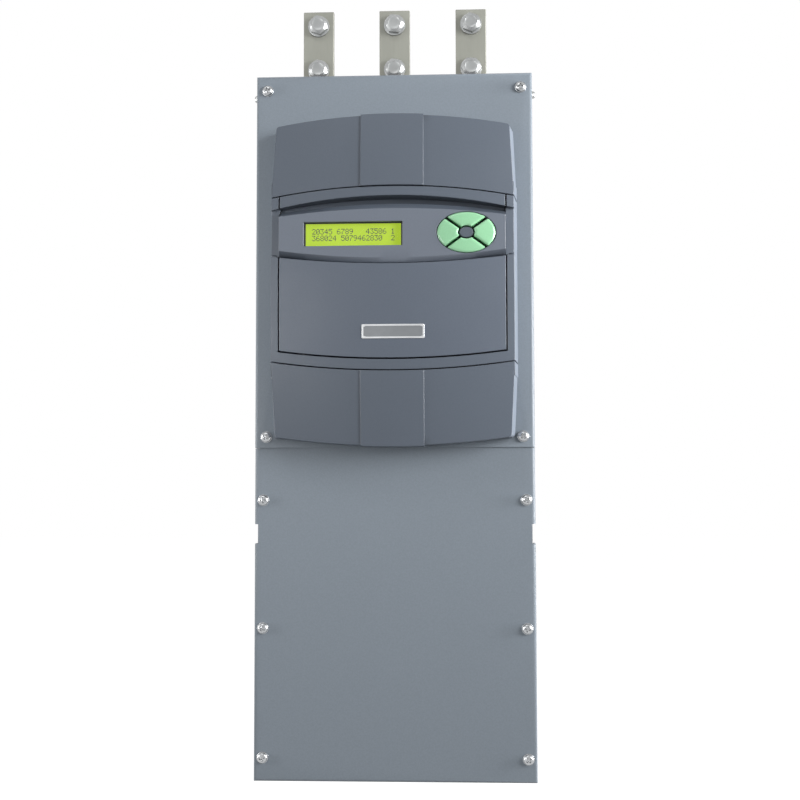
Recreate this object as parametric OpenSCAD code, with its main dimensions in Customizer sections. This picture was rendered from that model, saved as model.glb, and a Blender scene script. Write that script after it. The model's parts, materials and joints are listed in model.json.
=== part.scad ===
// Wall-mounted direct-current motor controller in a folded sheet-metal case.
// X runs to the right, Y runs from the front towards the wall, Z runs up.
// The origin is at the middle of the footprint, on the surface it stands on.
// Depths named d are measured backwards from the face of the upper cover.

/* [Case] */
// Width across the folded covers
case_w = 253; // [248:1:290]
// Height of the case, without the wall flange and the busbars
case_h = 640; // [620:1:720]
// Depth from the face of the upper cover to the wall
case_depth = 309; // [300:1:360]
// Sheet thickness of the two covers
cover_sheet = 1.5; // [1:0.1:2]
// Outer bend radius of the folded covers
bend_r = 3; // [2.5:0.1:5]
// Depth of the side flanges of the covers
cover_flange = 22; // [18:1:30]
// Height of the upper cover
upper_cover_h = 343; // [335:1:350]
// How far the upper cover stands in front of the lower cover
cover_step = 1.5; // [1.5:0.1:3]
// Height of the tongue of the lower cover behind the upper cover
tongue_h = 18; // [14:1:24]
// Visible gap between the two covers
seam_gap = 0.5; // [0.3:0.1:1]
// Sheet thickness of the chassis panels
chassis_sheet = 2; // [1.5:0.1:3]
// Sheet thickness of the rear panel
rear_sheet = 2.5; // [2:0.1:4]
// Width of the folded edges of the chassis panels
chassis_flange = 14; // [12:0.5:15]
// Height of the rear panel above the case
wall_flange = 40; // [30:1:60]
// Distance from the joint down to the middle of the side notches
notch_drop = 77.3; // [65:0.1:90]
// Height of the side notches
notch_h = 17.5; // [12:0.5:24]
// Width of the side notches, measured in from the side
notch_w = 3.1; // [2:0.1:4]

/* [Wall mounting] */
// Diameter of the wall-fixing holes
mount_hole_d = 9; // [7:0.5:11]
// Distance of the wall-fixing holes from the sides of the case
mount_inset_x = 26.5; // [24.5:0.5:36]
// Distance from the top of the rear panel to the upper holes
mount_inset_top = 18; // [14:1:24]
// Height of the lower wall-fixing holes
mount_bottom_z = 30; // [26:1:40]

/* [Cover screws] */
// Diameter of the screw heads
screw_head_d = 9.4; // [8:0.1:10]
// Height of the screw heads
screw_head_h = 3.4; // [2.5:0.1:4]
// Diameter of the washers under the screw heads
screw_washer_d = 10.4; // [9.6:0.1:11]
// Thickness of the washers under the screw heads
screw_washer_h = 1.1; // [0.8:0.1:1.6]
// Diameter of the screw threads
screw_d = 5; // [4:0.5:6]
// Distance of the upper cover's screws from its sides
upper_screw_inset = 10.5; // [8.5:0.5:13]
// Distance of the lower cover's screws from its sides
lower_screw_inset = 8; // [7.5:0.5:12]
// Distance of the top screws below the top edge
top_screw_inset = 14; // [10:1:20]
// Distance of the upper cover's lower screws above the joint
seam_screw_rise = 10; // [7:1:12]
// Height of the lowest screws of the lower cover
low_screw_z = 21; // [16:1:30]
// Distance from the joint down to the highest screws of the lower cover
high_screw_drop = 47; // [35:1:60]
// Depth of the side screws behind the face
side_screw_depth = 12; // [10:1:15]
// Distance of the side screws below the top edge
side_screw_inset = 18; // [16:1:24]
// Size of the side screws compared with the others
side_screw_scale = 0.7; // [0.5:0.05:0.8]

/* [Moulded housing] */
// Distance from the top of the case down to the middle of the housing
housing_drop = 193.9; // [180:0.1:194.5]
// Width of the cover beside the housing
housing_inset = 18.5; // [16.5:0.5:20]
// Distance by which each side of the end caps draws in to their far edges
cap_taper = 2.6; // [2:0.1:8]
// Half of the height between the two seams, at the middle
seam_half = 82.5; // [80:0.5:86]
// Half of the whole height of the housing, at the middle
housing_half_h = 148; // [140:0.5:152]
// Radius of the arched edges seen from the front
arch_r = 700; // [600:10:900]
// How far the crowned front stands in front of the case
crown_proud = 41; // [40:0.5:46]
// Crown radius across the width
crown_rh = 650; // [600:10:800]
// Crown radius over the height
crown_rv = 900; // [800:10:1200]
// Wall thickness of the mouldings
wall = 2.5; // [2:0.1:3]
// Gap between neighbouring mouldings at the seams
mould_gap = 1; // [0.6:0.1:1.4]
// Corner radius of the end caps
cap_corner_r = 3; // [2:0.5:6]
// Half width of the raised band on the end caps
band_half = 28; // [20:1:40]
// Rise of the raised band above the end cap
band_rise = 1.2; // [0.6:0.1:2]
// How far the raised band reaches past the edge of the end cap
band_over = 0.9; // [0.4:0.1:2]
// Gap below the door, so that it swings past the arched edge of the frame
door_gap = 1.4; // [1.4:0.1:1.8]
// Width of the side posts beside the door and the display bezel
post_w = 7.6; // [7:0.1:9]
// Gap at the sides of the door and the display bezel
door_side_gap = 1.2; // [1:0.1:1.6]
// Distance from the housing's middle down to the lower edge of the door
door_low = 71.1; // [66:0.1:74]
// Distance from the housing's middle up to the upper edge of the door
door_high = 11.9; // [6:0.1:12.5]
// How far the finger channel is set back in the side posts
channel_recess = 4; // [2:0.5:6]

/* [Display bezel] */
// Distance from the housing's middle up to the lower edge of the bezel face
face_low = 17.1; // [15:0.1:18]
// Distance from the housing's middle up to the upper edge of the bezel face
face_high = 61.3; // [60:0.1:62]
// Distance from the housing's middle up to the top of the sloping edge
slope_high = 65.9; // [65:0.1:67]
// Distance from the housing's middle up to the underside of the brow
brow_high = 73.2; // [71:0.1:75]
// Radius of the upper edges of the bezel face
face_top_r = 820; // [750:10:1500]
// Radius of the underside of the brow
brow_r = 540; // [500:10:700]
// Radius of the bezel face across the width
face_rh = 2400; // [1500:50:3000]
// Set-back of the middle of the bezel face behind the crown
face_setback = 0.8; // [0.5:0.1:1.5]
// Set-back of the upper sloping edge
slope_depth = 4.6; // [3:0.1:6]
// Set-back of the lower sloping edge
lower_slope_depth = 3.6; // [2:0.1:4.5]
// Depth of the finger groove's floor in front of the case
groove_floor = 20; // [16:0.5:24]
// Distance of the display's middle from the middle of the case
lcd_x = -34.3; // [-36:0.1:-30]
// Distance from the housing's middle up to the display's middle
lcd_rise = 38.9; // [38:0.1:41]
// Width of the opening for the display
lcd_open_w = 87.6; // [80:0.1:90]
// Height of the opening for the display
lcd_open_h = 21.6; // [18:0.1:23]
// Width of the visible display glass
lcd_glass_w = 84.8; // [78:0.1:87]
// Height of the visible display glass
lcd_glass_h = 19.8; // [16:0.1:21]
// Distance of the window in front of the case
lcd_window_out = 35; // [34.5:0.1:35.5]

/* [Keypad] */
// Distance of the keypad's middle from the middle of the case
keypad_x = 65.9; // [64:0.1:68]
// Distance from the housing's middle up to the keypad's middle
keypad_rise = 39.2; // [38.5:0.1:41]
// Width of the oval of keys
keypad_w = 51.6; // [44:0.2:54]
// Height of the oval of keys
keypad_h = 36.2; // [30:0.2:38]
// Width of the gaps between the keys
key_gap = 2.4; // [1.6:0.1:3]
// Slope of the gaps between the keys, in degrees
key_split = 36; // [32:1:40]
// Width of the hub between the keys
hub_w = 12.4; // [10:0.1:14]
// Height of the hub between the keys
hub_h = 9.4; // [8:0.1:11]
// Clearance around the oval of keys and around the hub
key_clear = 0.5; // [0.3:0.1:0.8]
// Radius of the keys' common dome
key_dome_r = 180; // [150:5:240]
// Rise of the dome above the bezel face
key_rise = 2.2; // [1.8:0.1:2.5]
// Travel of a key
key_travel = 1; // [0.6:0.1:1.2]
// Distance of the floor under the keys in front of the case
key_floor = 27; // [25:0.5:28]
// Diameter of the key stems
key_stem_d = 5; // [4:0.5:6]

/* [Door hinge] */
// Distance of the hinge axis from the left edge of the door
hinge_inset = 22; // [20:0.5:24]
// Distance of the hinge axis in front of the case
hinge_out = 27.5; // [27:0.1:28]
// Diameter of the hinge pins
hinge_pin_d = 3; // [2:0.1:3.2]
// Clearance of the hinge pins in the bores that they turn in
pin_clear = 0.05; // [0.02:0.01:0.1]

/* [Badge plate] */
// Width of the badge plate
badge_w = 55.2; // [40:0.2:70]
// Height of the badge plate
badge_h = 12.6; // [8:0.2:16]
// Distance of the badge plate's middle from the middle of the case
badge_x = 1.2; // [-10:0.1:10]
// Distance from the housing's middle down to the badge plate's middle
badge_drop = 48.1; // [6:0.1:56]
// How far the badge plate stands out of the door
badge_rise = 0.8; // [0.4:0.1:1.5]

/* [Busbars] */
// Width of a supply busbar
bar_w = 30; // [24:1:34]
// Thickness of a supply busbar
bar_t = 6; // [5:0.5:8]
// Distance between neighbouring supply busbars
bar_pitch = 75; // [70:1:75]
// Distance of the middle busbar from the middle of the case
bar_x = -3.5; // [-8:0.5:2]
// Depth of the busbars' front behind the face of the case
bar_depth = 85; // [80:1:90]
// Height of the supply busbars above the case
bar_reach = 91; // [70:1:110]
// Distance from the end of a busbar to its first bolt
bolt_inset = 15; // [12:1:18]
// Distance between the two bolts of a busbar
bolt_pitch = 44.5; // [34:0.5:48]
// Diameter of the bolts
bolt_d = 10; // [8:1:12]
// Width across the flats of the bolt heads
bolt_flats = 17; // [13:1:19]
// Diameter of the washers under the bolt heads
bolt_washer_d = 21; // [18:1:24]

/* [Power section] */
// Thickness of the heatsink's base
sink_base = 15; // [12:1:20]
// Number of fins on the heatsink
fin_count = 22; // [12:1:26]
// Thickness of a fin
fin_t = 2.5; // [2:0.1:3.5]
// Height of the heatsink's lower end
sink_bottom = 60; // [55:1:80]
// Distance from the top of the heatsink to the top of the case
sink_top_gap = 40; // [30:1:60]
// Distance from the face of a module to the heatsink
module_h = 48; // [40:1:55]
// Width of a thyristor module
module_w = 60; // [50:1:64]
// Height of a thyristor module
module_len = 150; // [120:1:160]
// Width of the bottom panel left over beside the fans, on each side
fan_margin = 2.8; // [2.8:0.1:24]
// Thickness of a cooling fan
fan_t = 38; // [32:1:40]
// Number of blades on a fan
blade_count = 7; // [5:1:9]

/* [Cable entry] */
// Width of the cable entry in the bottom panel
entry_w = 170; // [120:1:174]
// Depth of the cable entry, from its front to its back
entry_len = 72; // [50:1:76]
// Distance of the cable entry's middle behind the face
entry_depth = 66; // [64:1:90]
// Thickness of the rubber edging around the cable entry
edging_t = 3; // [2:0.1:5]

/* [Hidden] */

// Smooth circles
$fn = 96;
// Margin by which a cut passes the surface that it opens
cut = 1;
// Clearance between flat pieces that are slid into each other
slip = 0.2;
// Clearance around a screw in its hole
screw_slip = 0.3;
// Clearance around a thread in the hole that it bites into
thread_slip = 0.05;
// A length beyond every piece
far = 1000;

case_half = case_w / 2;
seam_z = case_h - upper_cover_h;
notch_z = seam_z - notch_drop;
mount_spacing_x = case_w - 2 * mount_inset_x;
upper_screw_x = case_half - upper_screw_inset;
lower_screw_x = case_half - lower_screw_inset;
front_y = crown_proud - (case_depth + crown_proud) / 2;
cover_in = case_half - cover_sheet;
chassis_half = cover_in - slip;
chassis_in = chassis_half - chassis_sheet;
lower_face = cover_step;
chassis_front = cover_step + cover_sheet;
rear_front = case_depth - rear_sheet;
chassis_top = case_h - cover_sheet - slip;
chassis_bottom = cover_sheet + slip;
panel_inner_half = chassis_in;
level_fold = 9;
joint_relief = 1;
upper_bottom = seam_z + seam_gap / 2;
lower_top = seam_z - seam_gap / 2;
tongue_half = cover_in - bend_r;
shank_r = screw_d / 2;
side_shank_r = shank_r * side_screw_scale;
upper_screw_zs = [case_h - top_screw_inset, seam_z + seam_screw_rise];
high_screw_z = seam_z - high_screw_drop;
lower_screw_zs = [low_screw_z, (low_screw_z + high_screw_z) / 2, high_screw_z];
side_screw_z = case_h - side_screw_inset;
notch_depth = cover_step + cover_flange + slip;

// Housing
housing_z = case_h - housing_drop;
housing_half = case_half - housing_inset;
cap_end_half = housing_half - cap_taper;
door_half = housing_half - post_w;
door_bottom = housing_z - door_low;
door_top = housing_z + door_high;
face_bottom = housing_z + face_low;
face_top = housing_z + face_high;
slope_top = housing_z + slope_high;
brow_bottom = housing_z + brow_high;
lcd_z = housing_z + lcd_rise;
keypad_z = housing_z + keypad_rise;
badge_z = housing_z - badge_drop;
opening_half = door_half + door_side_gap;
seam_high = housing_z + seam_half;
seam_low = housing_z - seam_half;
bezel_bottom = door_top + mould_gap;
plate_t = wall;
seam_depth = 2.5;
hinge_x = hinge_inset - door_half;
hinge_clear = 0.4;
hinge_recess_out = 23.4;
door_rim_out = 26;
knuckle_r = hinge_pin_d / 2 + 1.8;
knuckle_h = 8;
pin_in_wall = 2.2;
frame_screw_x = (opening_half + housing_half) / 2;
frame_screw_zs = [housing_z - 46.1, housing_z + 43.9];
small_screw_r = 1.5;
small_head_r = 2.8;
small_head_h = 2.2;
small_screw_len = 12;
boss_r = 3.6;
cap_boss_x = 80;
cap_boss_rise = (seam_half + housing_half_h) / 2;
bezel_boss_x = 92;
bezel_boss_z = seam_high - 14;
cable_window = [60, 34];
cable_window_z = lcd_z;
board_t = 1.6;
control_board_out = 10.4;
control_board_size = [150, 62];
control_board_x = 12;
control_board_z = (door_bottom + door_top) / 2 + 2;
board_peg_r = 1.5;
board_post_r = 3;
board_inset = 5;

// Display and keypad
lcd_rim = 2;
window_t = 1;
lcd_frame_size = [97, 26, 8];
lcd_board_size = [112, 30];
lcd_lip = 0.6;
mat_t = 1;
key_back = key_floor + mat_t + key_travel + 0.4;
floor_t = 2;
stem_out = 22.1;
switch_size = 6;
plunger_r = 1.7;
plunger_h = 1;
keypad_board_out = 16;
switch_front = stem_out - key_travel - 0.3;
stem_x = (keypad_w + hub_w) / 4;
stem_z = (keypad_h + hub_h) / 4;
hub_rise = 0.4;
peg_angle = key_split;
peg_reach = 0.62;

// Power section
bar_top = case_h + bar_reach;
bar_back = bar_depth + bar_t;
terminal_t = 4;
module_front = bar_back + terminal_t;
sink_front = module_front + module_h;
fin_front = sink_front + sink_base;
fin_back = rear_front - 4;
sink_top = case_h - sink_top_gap;
sink_half = chassis_in;
module_top = sink_top - 70;
module_bottom = module_top - module_len;
ac_bottom = module_bottom + 0.6 * module_len;
terminal_w = 22;
terminal_h = 16;
terminal_flats = 13;
terminal_head_h = 5.3;
washer_t = 2;
head_h = bolt_d * 0.64;
nut_h = bolt_d * 0.8;
bolt_hole_r = bolt_d / 2 + 0.5;
upper_bolt_z = bar_top - bolt_inset;
lower_bolt_z = upper_bolt_z - bolt_pitch;
bar_window = [2 * bar_pitch + bar_w + 14, bar_t + 20];
insulator_t = 6;
insulator_lap = 12;
ct_size = [54, 44, 34];
ct_z = module_top + 45;
dc_w = 20;
dc_bottom = 112;
dc_bolt_z = dc_bottom + 16;
post_z = dc_bottom + 56;
post_r = 13;
plate_depth = 60;
plate_bottom = module_bottom - 50;
plate_top = sink_top;
plate_fold = 14;
power_board_depth = 50;
power_board_half = chassis_in - 18.8;
power_board_zs = [plate_bottom + 16, plate_top - 14];
transformer_size = [46, 50, 32];
relay_size = [28, 22, 18];
capacitor_size = [9, 26];
standoff_r = 3.5;

// Fans and cable entry
fan_size = chassis_in - fan_margin - 1;
fan_x = fan_size / 2 + 1;
bolt_head_room = 10;
fan_depth = rear_front - bolt_head_room - fan_size / 2;
fan_bottom = chassis_bottom + chassis_sheet;
fan_bore_r = fan_size / 2 - 2.5;
fan_hub_r = 28;
blade_tip_r = fan_bore_r - 1.5;
fan_seat_t = 5;
axle_r = 2.5;
fan_hole_pitch = fan_size - 14;
grille_rings = 5;
grille_bar = 3;
lip_t = 1.5;
lip_w = 3;
entry_corner_r = 8;
vent_w = 6;
vent_len = 56;
vent_pitch = 13;
vent_count = 15;
vent_rows = [fan_depth - vent_len / 2 - 6, fan_depth + vent_len / 2 + 6];
stud_x = entry_w / 2 + lip_w + 14;
stud_depth = 62;

// Height of an arched edge at x; a negative radius makes the ends rise
function edge_z(x, middle, r) = middle - sign(r) * (abs(r) - sqrt(r * r - x * x));

// Points of an arched edge from left to right
function edge(half, middle, r, n = 24) =
    [for (i = [0:n]) let (x = half * (2 * i / n - 1)) [x, edge_z(x, middle, r)]];

// The same list of points the other way round
function reversed(points) = [for (i = [len(points) - 1:-1:0]) points[i]];

// Points of a round corner
function corner(x, y, r, start, end, n = 6) =
    [for (i = [0:n]) let (a = start + (end - start) * i / n) [x + r * cos(a), y + r * sin(a)]];

// Points of an ellipse
function ellipse(a, b, n = 72) = [for (i = [0:n - 1]) [a * cos(360 * i / n), b * sin(360 * i / n)]];

// Radius of a crown about its upright axis at height z
function crown_ring(z, rh = crown_rh) = rh - crown_rv + sqrt(pow(crown_rv, 2) - pow(z - housing_z, 2));

// Depth of a crowned front, negative in front of the case
function crown_d(x, z, rh = crown_rh) = rh - crown_proud - sqrt(pow(crown_ring(z, rh), 2) - x * x);

// Depth of the flatter bezel face
function face_d(x, z) = face_setback + crown_d(x, z, face_rh);

// Block between two depths
module slab(x0, x1, d0, d1, z0, z1) {
    translate([x0, front_y + d0, z0]) cube([x1 - x0, d1 - d0, z1 - z0]);
}

// Front outline drawn in X and Z, given thickness between two depths
module elevation(d0, d1) {
    translate([0, front_y + d1, 0]) rotate([90, 0, 0]) linear_extrude(d1 - d0) children();
}

// Plan outline drawn in X and depth, raised between two heights
module plan(z0, z1) {
    translate([0, front_y, z0]) linear_extrude(z1 - z0) children();
}

// Round bar along the depth
module depth_rod(x, z, r, d0, d1) {
    translate([x, front_y + d1, z]) rotate([90, 0, 0]) cylinder(r = r, h = d1 - d0);
}

// Round bar upright
module upright_rod(x, d, r, z0, z1) {
    translate([x, front_y + d, z0]) cylinder(r = r, h = z1 - z0);
}

module mirrored_pair() {
    children();
    mirror([1, 0, 0]) children();
}

// Outline of a folded edge: a plate with both sides turned back
module fold_outline(w, depth, r) {
    polygon(concat(corner(r - w / 2, r, r, 180, 270), corner(w / 2 - r, r, r, 270, 360),
                   [[w / 2, depth], [-w / 2, depth]]));
}

// Folded channel of one sheet: a web with two equal flanges
module channel(w, depth, r, t) {
    difference() {
        fold_outline(w, depth, r);
        translate([0, t]) fold_outline(w - 2 * t, depth, max(r - t, 0.5));
    }
}

// Solid bounded in front by the crown, pushed out by proud
module crown_mass(proud, rh = crown_rh) {
    reach = housing_half_h + 20;
    translate([0, front_y + rh - proud, housing_z])
    rotate_extrude($fn = 360)
    intersection() {
        translate([rh - crown_rv, 0]) circle(r = crown_rv, $fn = 360);
        translate([0, -reach]) square([rh, 2 * reach]);
    }
}

// Front outline raised to the crown
module crowned(proud, back, rh = crown_rh) {
    intersection() {
        elevation(-crown_proud - 10, back) children();
        crown_mass(proud, rh);
    }
}

// Outline between two arched edges
module arched_panel(half, bottom, bottom_r, top, top_r) {
    polygon(concat(edge(half, bottom, bottom_r), reversed(edge(half, top, top_r))));
}

// Sheet-metal case

module rear_panel() {
    top = case_h + wall_flange;
    color([0.55, 0.57, 0.6])
    difference() {
        elevation(rear_front, case_depth)
        polygon(concat([[-chassis_half, 0], [chassis_half, 0]],
                       corner(chassis_half - 8, top - 8, 8, 0, 90),
                       corner(8 - chassis_half, top - 8, 8, 90, 180)));
        for (x = [-mount_spacing_x / 2, mount_spacing_x / 2], z = [mount_bottom_z, top - mount_inset_top])
            depth_rod(x, z, mount_hole_d / 2, rear_front - cut, case_depth + cut);
    }
}

module side_channel(front, z0, z1) {
    depth = rear_front - front;
    translate([chassis_half, 0, 0])
    plan(z0, z1)
    translate([0, front + depth / 2]) rotate(90)
    channel(depth, chassis_flange, bend_r, chassis_sheet);
}

// Side panel; its front edge steps forward where the tongue ends
module side_panel() {
    step_z = seam_z + tongue_h + joint_relief;
    difference() {
        union() {
            side_channel(chassis_front, chassis_bottom, step_z);
            side_channel(cover_sheet, step_z, chassis_top);
        }
        slab(0, far, -cut, chassis_front + notch_depth - cover_sheet,
             notch_z - notch_h / 2, notch_z + notch_h / 2);
        for (z = upper_screw_zs)
            depth_rod(upper_screw_x, z, shank_r + thread_slip, 0, chassis_front + 8);
        for (z = lower_screw_zs)
            depth_rod(lower_screw_x, z, shank_r + thread_slip, 0, chassis_front + 8);
        across_rod(side_screw_z, side_screw_depth, side_shank_r + thread_slip, chassis_in - cut, case_half);
        for (z = sink_screw_zs)
            across_rod(z, sink_front + sink_base / 2, shank_r + screw_slip, chassis_in - cut, case_half);
    }
}

// Round bar along X
module across_rod(z, d, r, x0, x1) {
    translate([x0, front_y + d, z]) rotate([0, 90, 0]) cylinder(r = r, h = x1 - x0);
}

sink_screw_zs = [sink_bottom + 40, (sink_bottom + sink_top) / 2, sink_top - 40];

module side_panel_right() {
    color([0.55, 0.57, 0.6]) side_panel();
}

module side_panel_left() {
    color([0.55, 0.57, 0.6]) mirror([1, 0, 0]) side_panel();
}

// Level panel with a folded edge at its front and back, folds turned down
module level_panel(z) {
    d0 = chassis_front + chassis_sheet + slip;
    d1 = rear_front - chassis_sheet - slip;
    translate([-panel_inner_half, front_y + (d0 + d1) / 2, z])
    rotate([90, 0, 90]) linear_extrude(2 * panel_inner_half)
    mirror([0, 1]) channel(d1 - d0, level_fold, bend_r, chassis_sheet);
}

module vent_slot(x, d, z0, z1) {
    reach = (vent_len - vent_w) / 2;
    slab(x - vent_w / 2, x + vent_w / 2, d - reach, d + reach, z0, z1);
    for (end = [d - reach, d + reach])
        upright_rod(x, end, vent_w / 2, z0, z1);
}

module top_panel() {
    z0 = chassis_top - chassis_sheet;
    mid = bar_depth + bar_t / 2;
    color([0.55, 0.57, 0.6])
    difference() {
        level_panel(chassis_top);
        slab(bar_x - bar_window[0] / 2, bar_x + bar_window[0] / 2,
             mid - bar_window[1] / 2, mid + bar_window[1] / 2, z0 - cut, chassis_top + cut);
        for (i = [0:vent_count - 1], d = vent_rows)
            vent_slot((i - (vent_count - 1) / 2) * vent_pitch, d, z0 - cut, chassis_top + cut);
        for (x = insulator_screw_xs)
            upright_rod(x, mid, shank_r + thread_slip, z0 - cut, chassis_top + cut);
    }
}

// Punched finger guard in front of a fan: ring slots between four spokes
module guard_slots(x) {
    step = (fan_bore_r - 8) / grille_rings;
    difference() {
        for (i = [0:grille_rings - 1])
            difference() {
                upright_rod(x, fan_depth, 8 + (i + 1) * step - grille_bar / 2, -cut, fan_bottom + cut);
                upright_rod(x, fan_depth, 8 + i * step + grille_bar / 2, -2 * cut, fan_bottom + 2 * cut);
            }
        for (a = [45, 135])
            translate([x, front_y + fan_depth, -3 * cut]) rotate(a)
            translate([-fan_bore_r, -grille_bar, 0]) cube([2 * fan_bore_r, 2 * grille_bar, fan_bottom + 6 * cut]);
    }
}

module bottom_panel() {
    color([0.55, 0.57, 0.6])
    difference() {
        translate([0, 0, chassis_bottom]) mirror([0, 0, 1]) level_panel(0);
        for (x = [-fan_x, fan_x]) {
            guard_slots(x);
            for (dx = [-fan_hole_pitch / 2, fan_hole_pitch / 2], dy = [-fan_hole_pitch / 2, fan_hole_pitch / 2])
                upright_rod(x + dx, fan_depth + dy, 2.3, 0, fan_bottom + cut);
        }
        plan(0, fan_bottom + cut) entry_outline(0);
        upright_rod(stud_x, stud_depth, 4 + thread_slip, 0, fan_bottom + cut);
    }
}

// Tray folded back at both sides and at one end
module cover_tray(z0, z1, fold_top, inset) {
    h = z1 - z0;
    r = max(bend_r - inset, 0.5);
    depth = cover_flange + (inset > 0 ? cut : 0);
    intersection() {
        plan(z0 - (fold_top ? cut : -inset), z1 - (fold_top ? inset : -cut))
        translate([0, inset]) fold_outline(case_w - 2 * inset, depth, r);
        translate([-far / 2, front_y, 0]) rotate([90, 0, 90]) linear_extrude(far)
        translate([inset, fold_top ? z1 - inset : z0 + inset])
        mirror([0, fold_top ? 1 : 0])
        polygon(concat([[depth, 0]], reversed(corner(r, r, r, 180, 270)),
                       [[0, h + cut], [depth, h + cut]]));
    }
}

// Cover: outer tray less inner tray, cut off level at the joint
module folded_cover(z0, z1, fold_top) {
    difference() {
        cover_tray(z0, z1, fold_top, 0);
        cover_tray(z0, z1, fold_top, cover_sheet);
        slab(-far, far, -far, far, fold_top ? -far : z1, fold_top ? z0 : far);
    }
}

module upper_cover() {
    color([0.5, 0.53, 0.57])
    difference() {
        folded_cover(upper_bottom, case_h, true);
        for (x = [-upper_screw_x, upper_screw_x], z = upper_screw_zs)
            depth_rod(x, z, shank_r + screw_slip, -cut, cover_sheet + cut);
        mirrored_pair()
            across_rod(side_screw_z, side_screw_depth, side_shank_r + screw_slip, chassis_in, case_half + cut);
        for (p = housing_screw_points)
            depth_rod(p[0], p[1], small_screw_r + screw_slip, -cut, cover_sheet + cut);
        slab(-cable_window[0] / 2, cable_window[0] / 2, -cut, cover_sheet + cut,
             cable_window_z - cable_window[1] / 2, cable_window_z + cable_window[1] / 2);
    }
}

module lower_cover() {
    color([0.48, 0.51, 0.55])
    difference() {
        union() {
            translate([0, lower_face, 0]) folded_cover(0, lower_top, false);
            slab(-tongue_half, tongue_half, lower_face, lower_face + cover_sheet,
                 lower_top - cut, seam_z + tongue_h);
        }
        for (x = [-lower_screw_x, lower_screw_x], z = lower_screw_zs)
            depth_rod(x, z, shank_r + screw_slip, 0, chassis_front + cut);
        for (x = [-upper_screw_x, upper_screw_x])
            depth_rod(x, upper_screw_zs[1], shank_r + screw_slip, 0, chassis_front + cut);
        mirrored_pair()
            slab(case_half - notch_w, case_half + cut, -cut, far, notch_z - notch_h / 2, notch_z + notch_h / 2);
    }
}

// Pan-head screw with a washer, pointing along +Z, its washer resting on z = 0
module pan_screw(length) {
    dome = screw_head_h * 0.55;
    difference() {
        union() {
            translate([0, 0, -screw_washer_h]) cylinder(d = screw_washer_d, h = screw_washer_h);
            translate([0, 0, -screw_washer_h - screw_head_h + dome])
                cylinder(d = screw_head_d, h = screw_head_h - dome);
            translate([0, 0, -screw_washer_h - screw_head_h])
                cylinder(d1 = screw_head_d * 0.72, d2 = screw_head_d, h = dome, $fn = 48);
            cylinder(r = shank_r, h = length);
        }
        for (a = [45, 135])
            translate([0, 0, -screw_washer_h - screw_head_h]) rotate(a)
            cube([screw_head_d * 0.5, 1.1, 3.6], center = true);
    }
}

module face_screw(x, d, z, length) {
    translate([x, front_y + d, z]) rotate([-90, 0, 0]) pan_screw(length);
}

module upper_cover_screws() {
    color([0.75, 0.76, 0.74])
    for (x = [-upper_screw_x, upper_screw_x], z = upper_screw_zs)
        face_screw(x, 0, z, chassis_front + 6);
}

module lower_cover_screws() {
    color([0.75, 0.76, 0.74])
    for (x = [-lower_screw_x, lower_screw_x], z = lower_screw_zs)
        face_screw(x, lower_face, z, cover_sheet + 6);
}

module side_screws() {
    color([0.75, 0.76, 0.74])
    mirrored_pair()
    translate([case_half, front_y + side_screw_depth, side_screw_z])
    rotate([0, -90, 0]) scale(side_screw_scale) pan_screw(10);
}

// Low-head screws: the heatsink's at the sides, the fans' and the insulator's
module low_screw(r, length) {
    translate([0, 0, -1.5]) cylinder(r = r * 1.8, h = 1.5);
    cylinder(r = r, h = length);
}

insulator_screw_xs = [bar_x - bar_window[0] / 2 - 4, bar_x + bar_window[0] / 2 + 4];

module chassis_screws() {
    color([0.7, 0.71, 0.7]) {
        mirrored_pair()
        for (z = sink_screw_zs)
            translate([chassis_half, front_y + sink_front + sink_base / 2, z])
            rotate([0, -90, 0]) low_screw(shank_r, chassis_sheet + 12);
        for (x = [-fan_x, fan_x], dx = [-fan_hole_pitch / 2, fan_hole_pitch / 2],
             dy = [-fan_hole_pitch / 2, fan_hole_pitch / 2])
            translate([x + dx, front_y + fan_depth + dy, chassis_bottom]) low_screw(2, chassis_sheet + 8);
        for (x = insulator_screw_xs)
            translate([x, front_y + bar_depth + bar_t / 2, chassis_top + insulator_t])
            rotate([180, 0, 0]) low_screw(shank_r, insulator_t + chassis_sheet + 2);
    }
}

// Moulded housing

// Outline of the upper end cap about the housing's middle, drawn in by inset
module cap_outline(inset) {
    far_z = housing_half_h - inset;
    seam = seam_half + inset;
    half_in = housing_half - inset;
    half_out = cap_end_half - inset;
    r = max(cap_corner_r - inset, 0.5);
    x = half_out - r;
    a = asin(x / arch_r);
    cx = x - r * sin(a);
    cz = edge_z(x, far_z, arch_r) - r * cos(a);
    polygon(concat(edge(half_in, seam, arch_r), corner(cx, cz, r, 0, 90 - a),
                   reversed(edge(x, far_z, arch_r)), corner(-cx, cz, r, 90 + a, 180)));
}

// Raised band of the end cap, drawn in by inset
module band_outline(inset) {
    arched_panel(band_half - inset, seam_half + inset, arch_r,
                 housing_half_h + band_over - inset, arch_r);
}

module end_cap() {
    translate([0, 0, housing_z])
    difference() {
        union() {
            lowered_crown(crown_proud, 0) cap_outline(0);
            lowered_crown(crown_proud + band_rise, 0) band_outline(0);
        }
        difference() {
            union() {
                lowered_crown(crown_proud - wall, cut) cap_outline(wall);
                lowered_crown(crown_proud + band_rise - wall, cut) band_outline(wall);
            }
            for (x = [-cap_boss_x, cap_boss_x])
                depth_rod(x, cap_boss_rise, boss_r, -crown_proud, 2 * cut);
        }
        for (x = [-cap_boss_x, cap_boss_x])
            depth_rod(x, cap_boss_rise, small_screw_r + thread_slip, -small_screw_len, cut);
    }
}

// The crown with its middle at height zero
module lowered_crown(proud, back) {
    intersection() {
        elevation(-crown_proud - 10, back) children();
        translate([0, 0, -housing_z]) crown_mass(proud);
    }
}

module upper_end_cap() {
    color([0.4, 0.43, 0.46]) end_cap();
}

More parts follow.
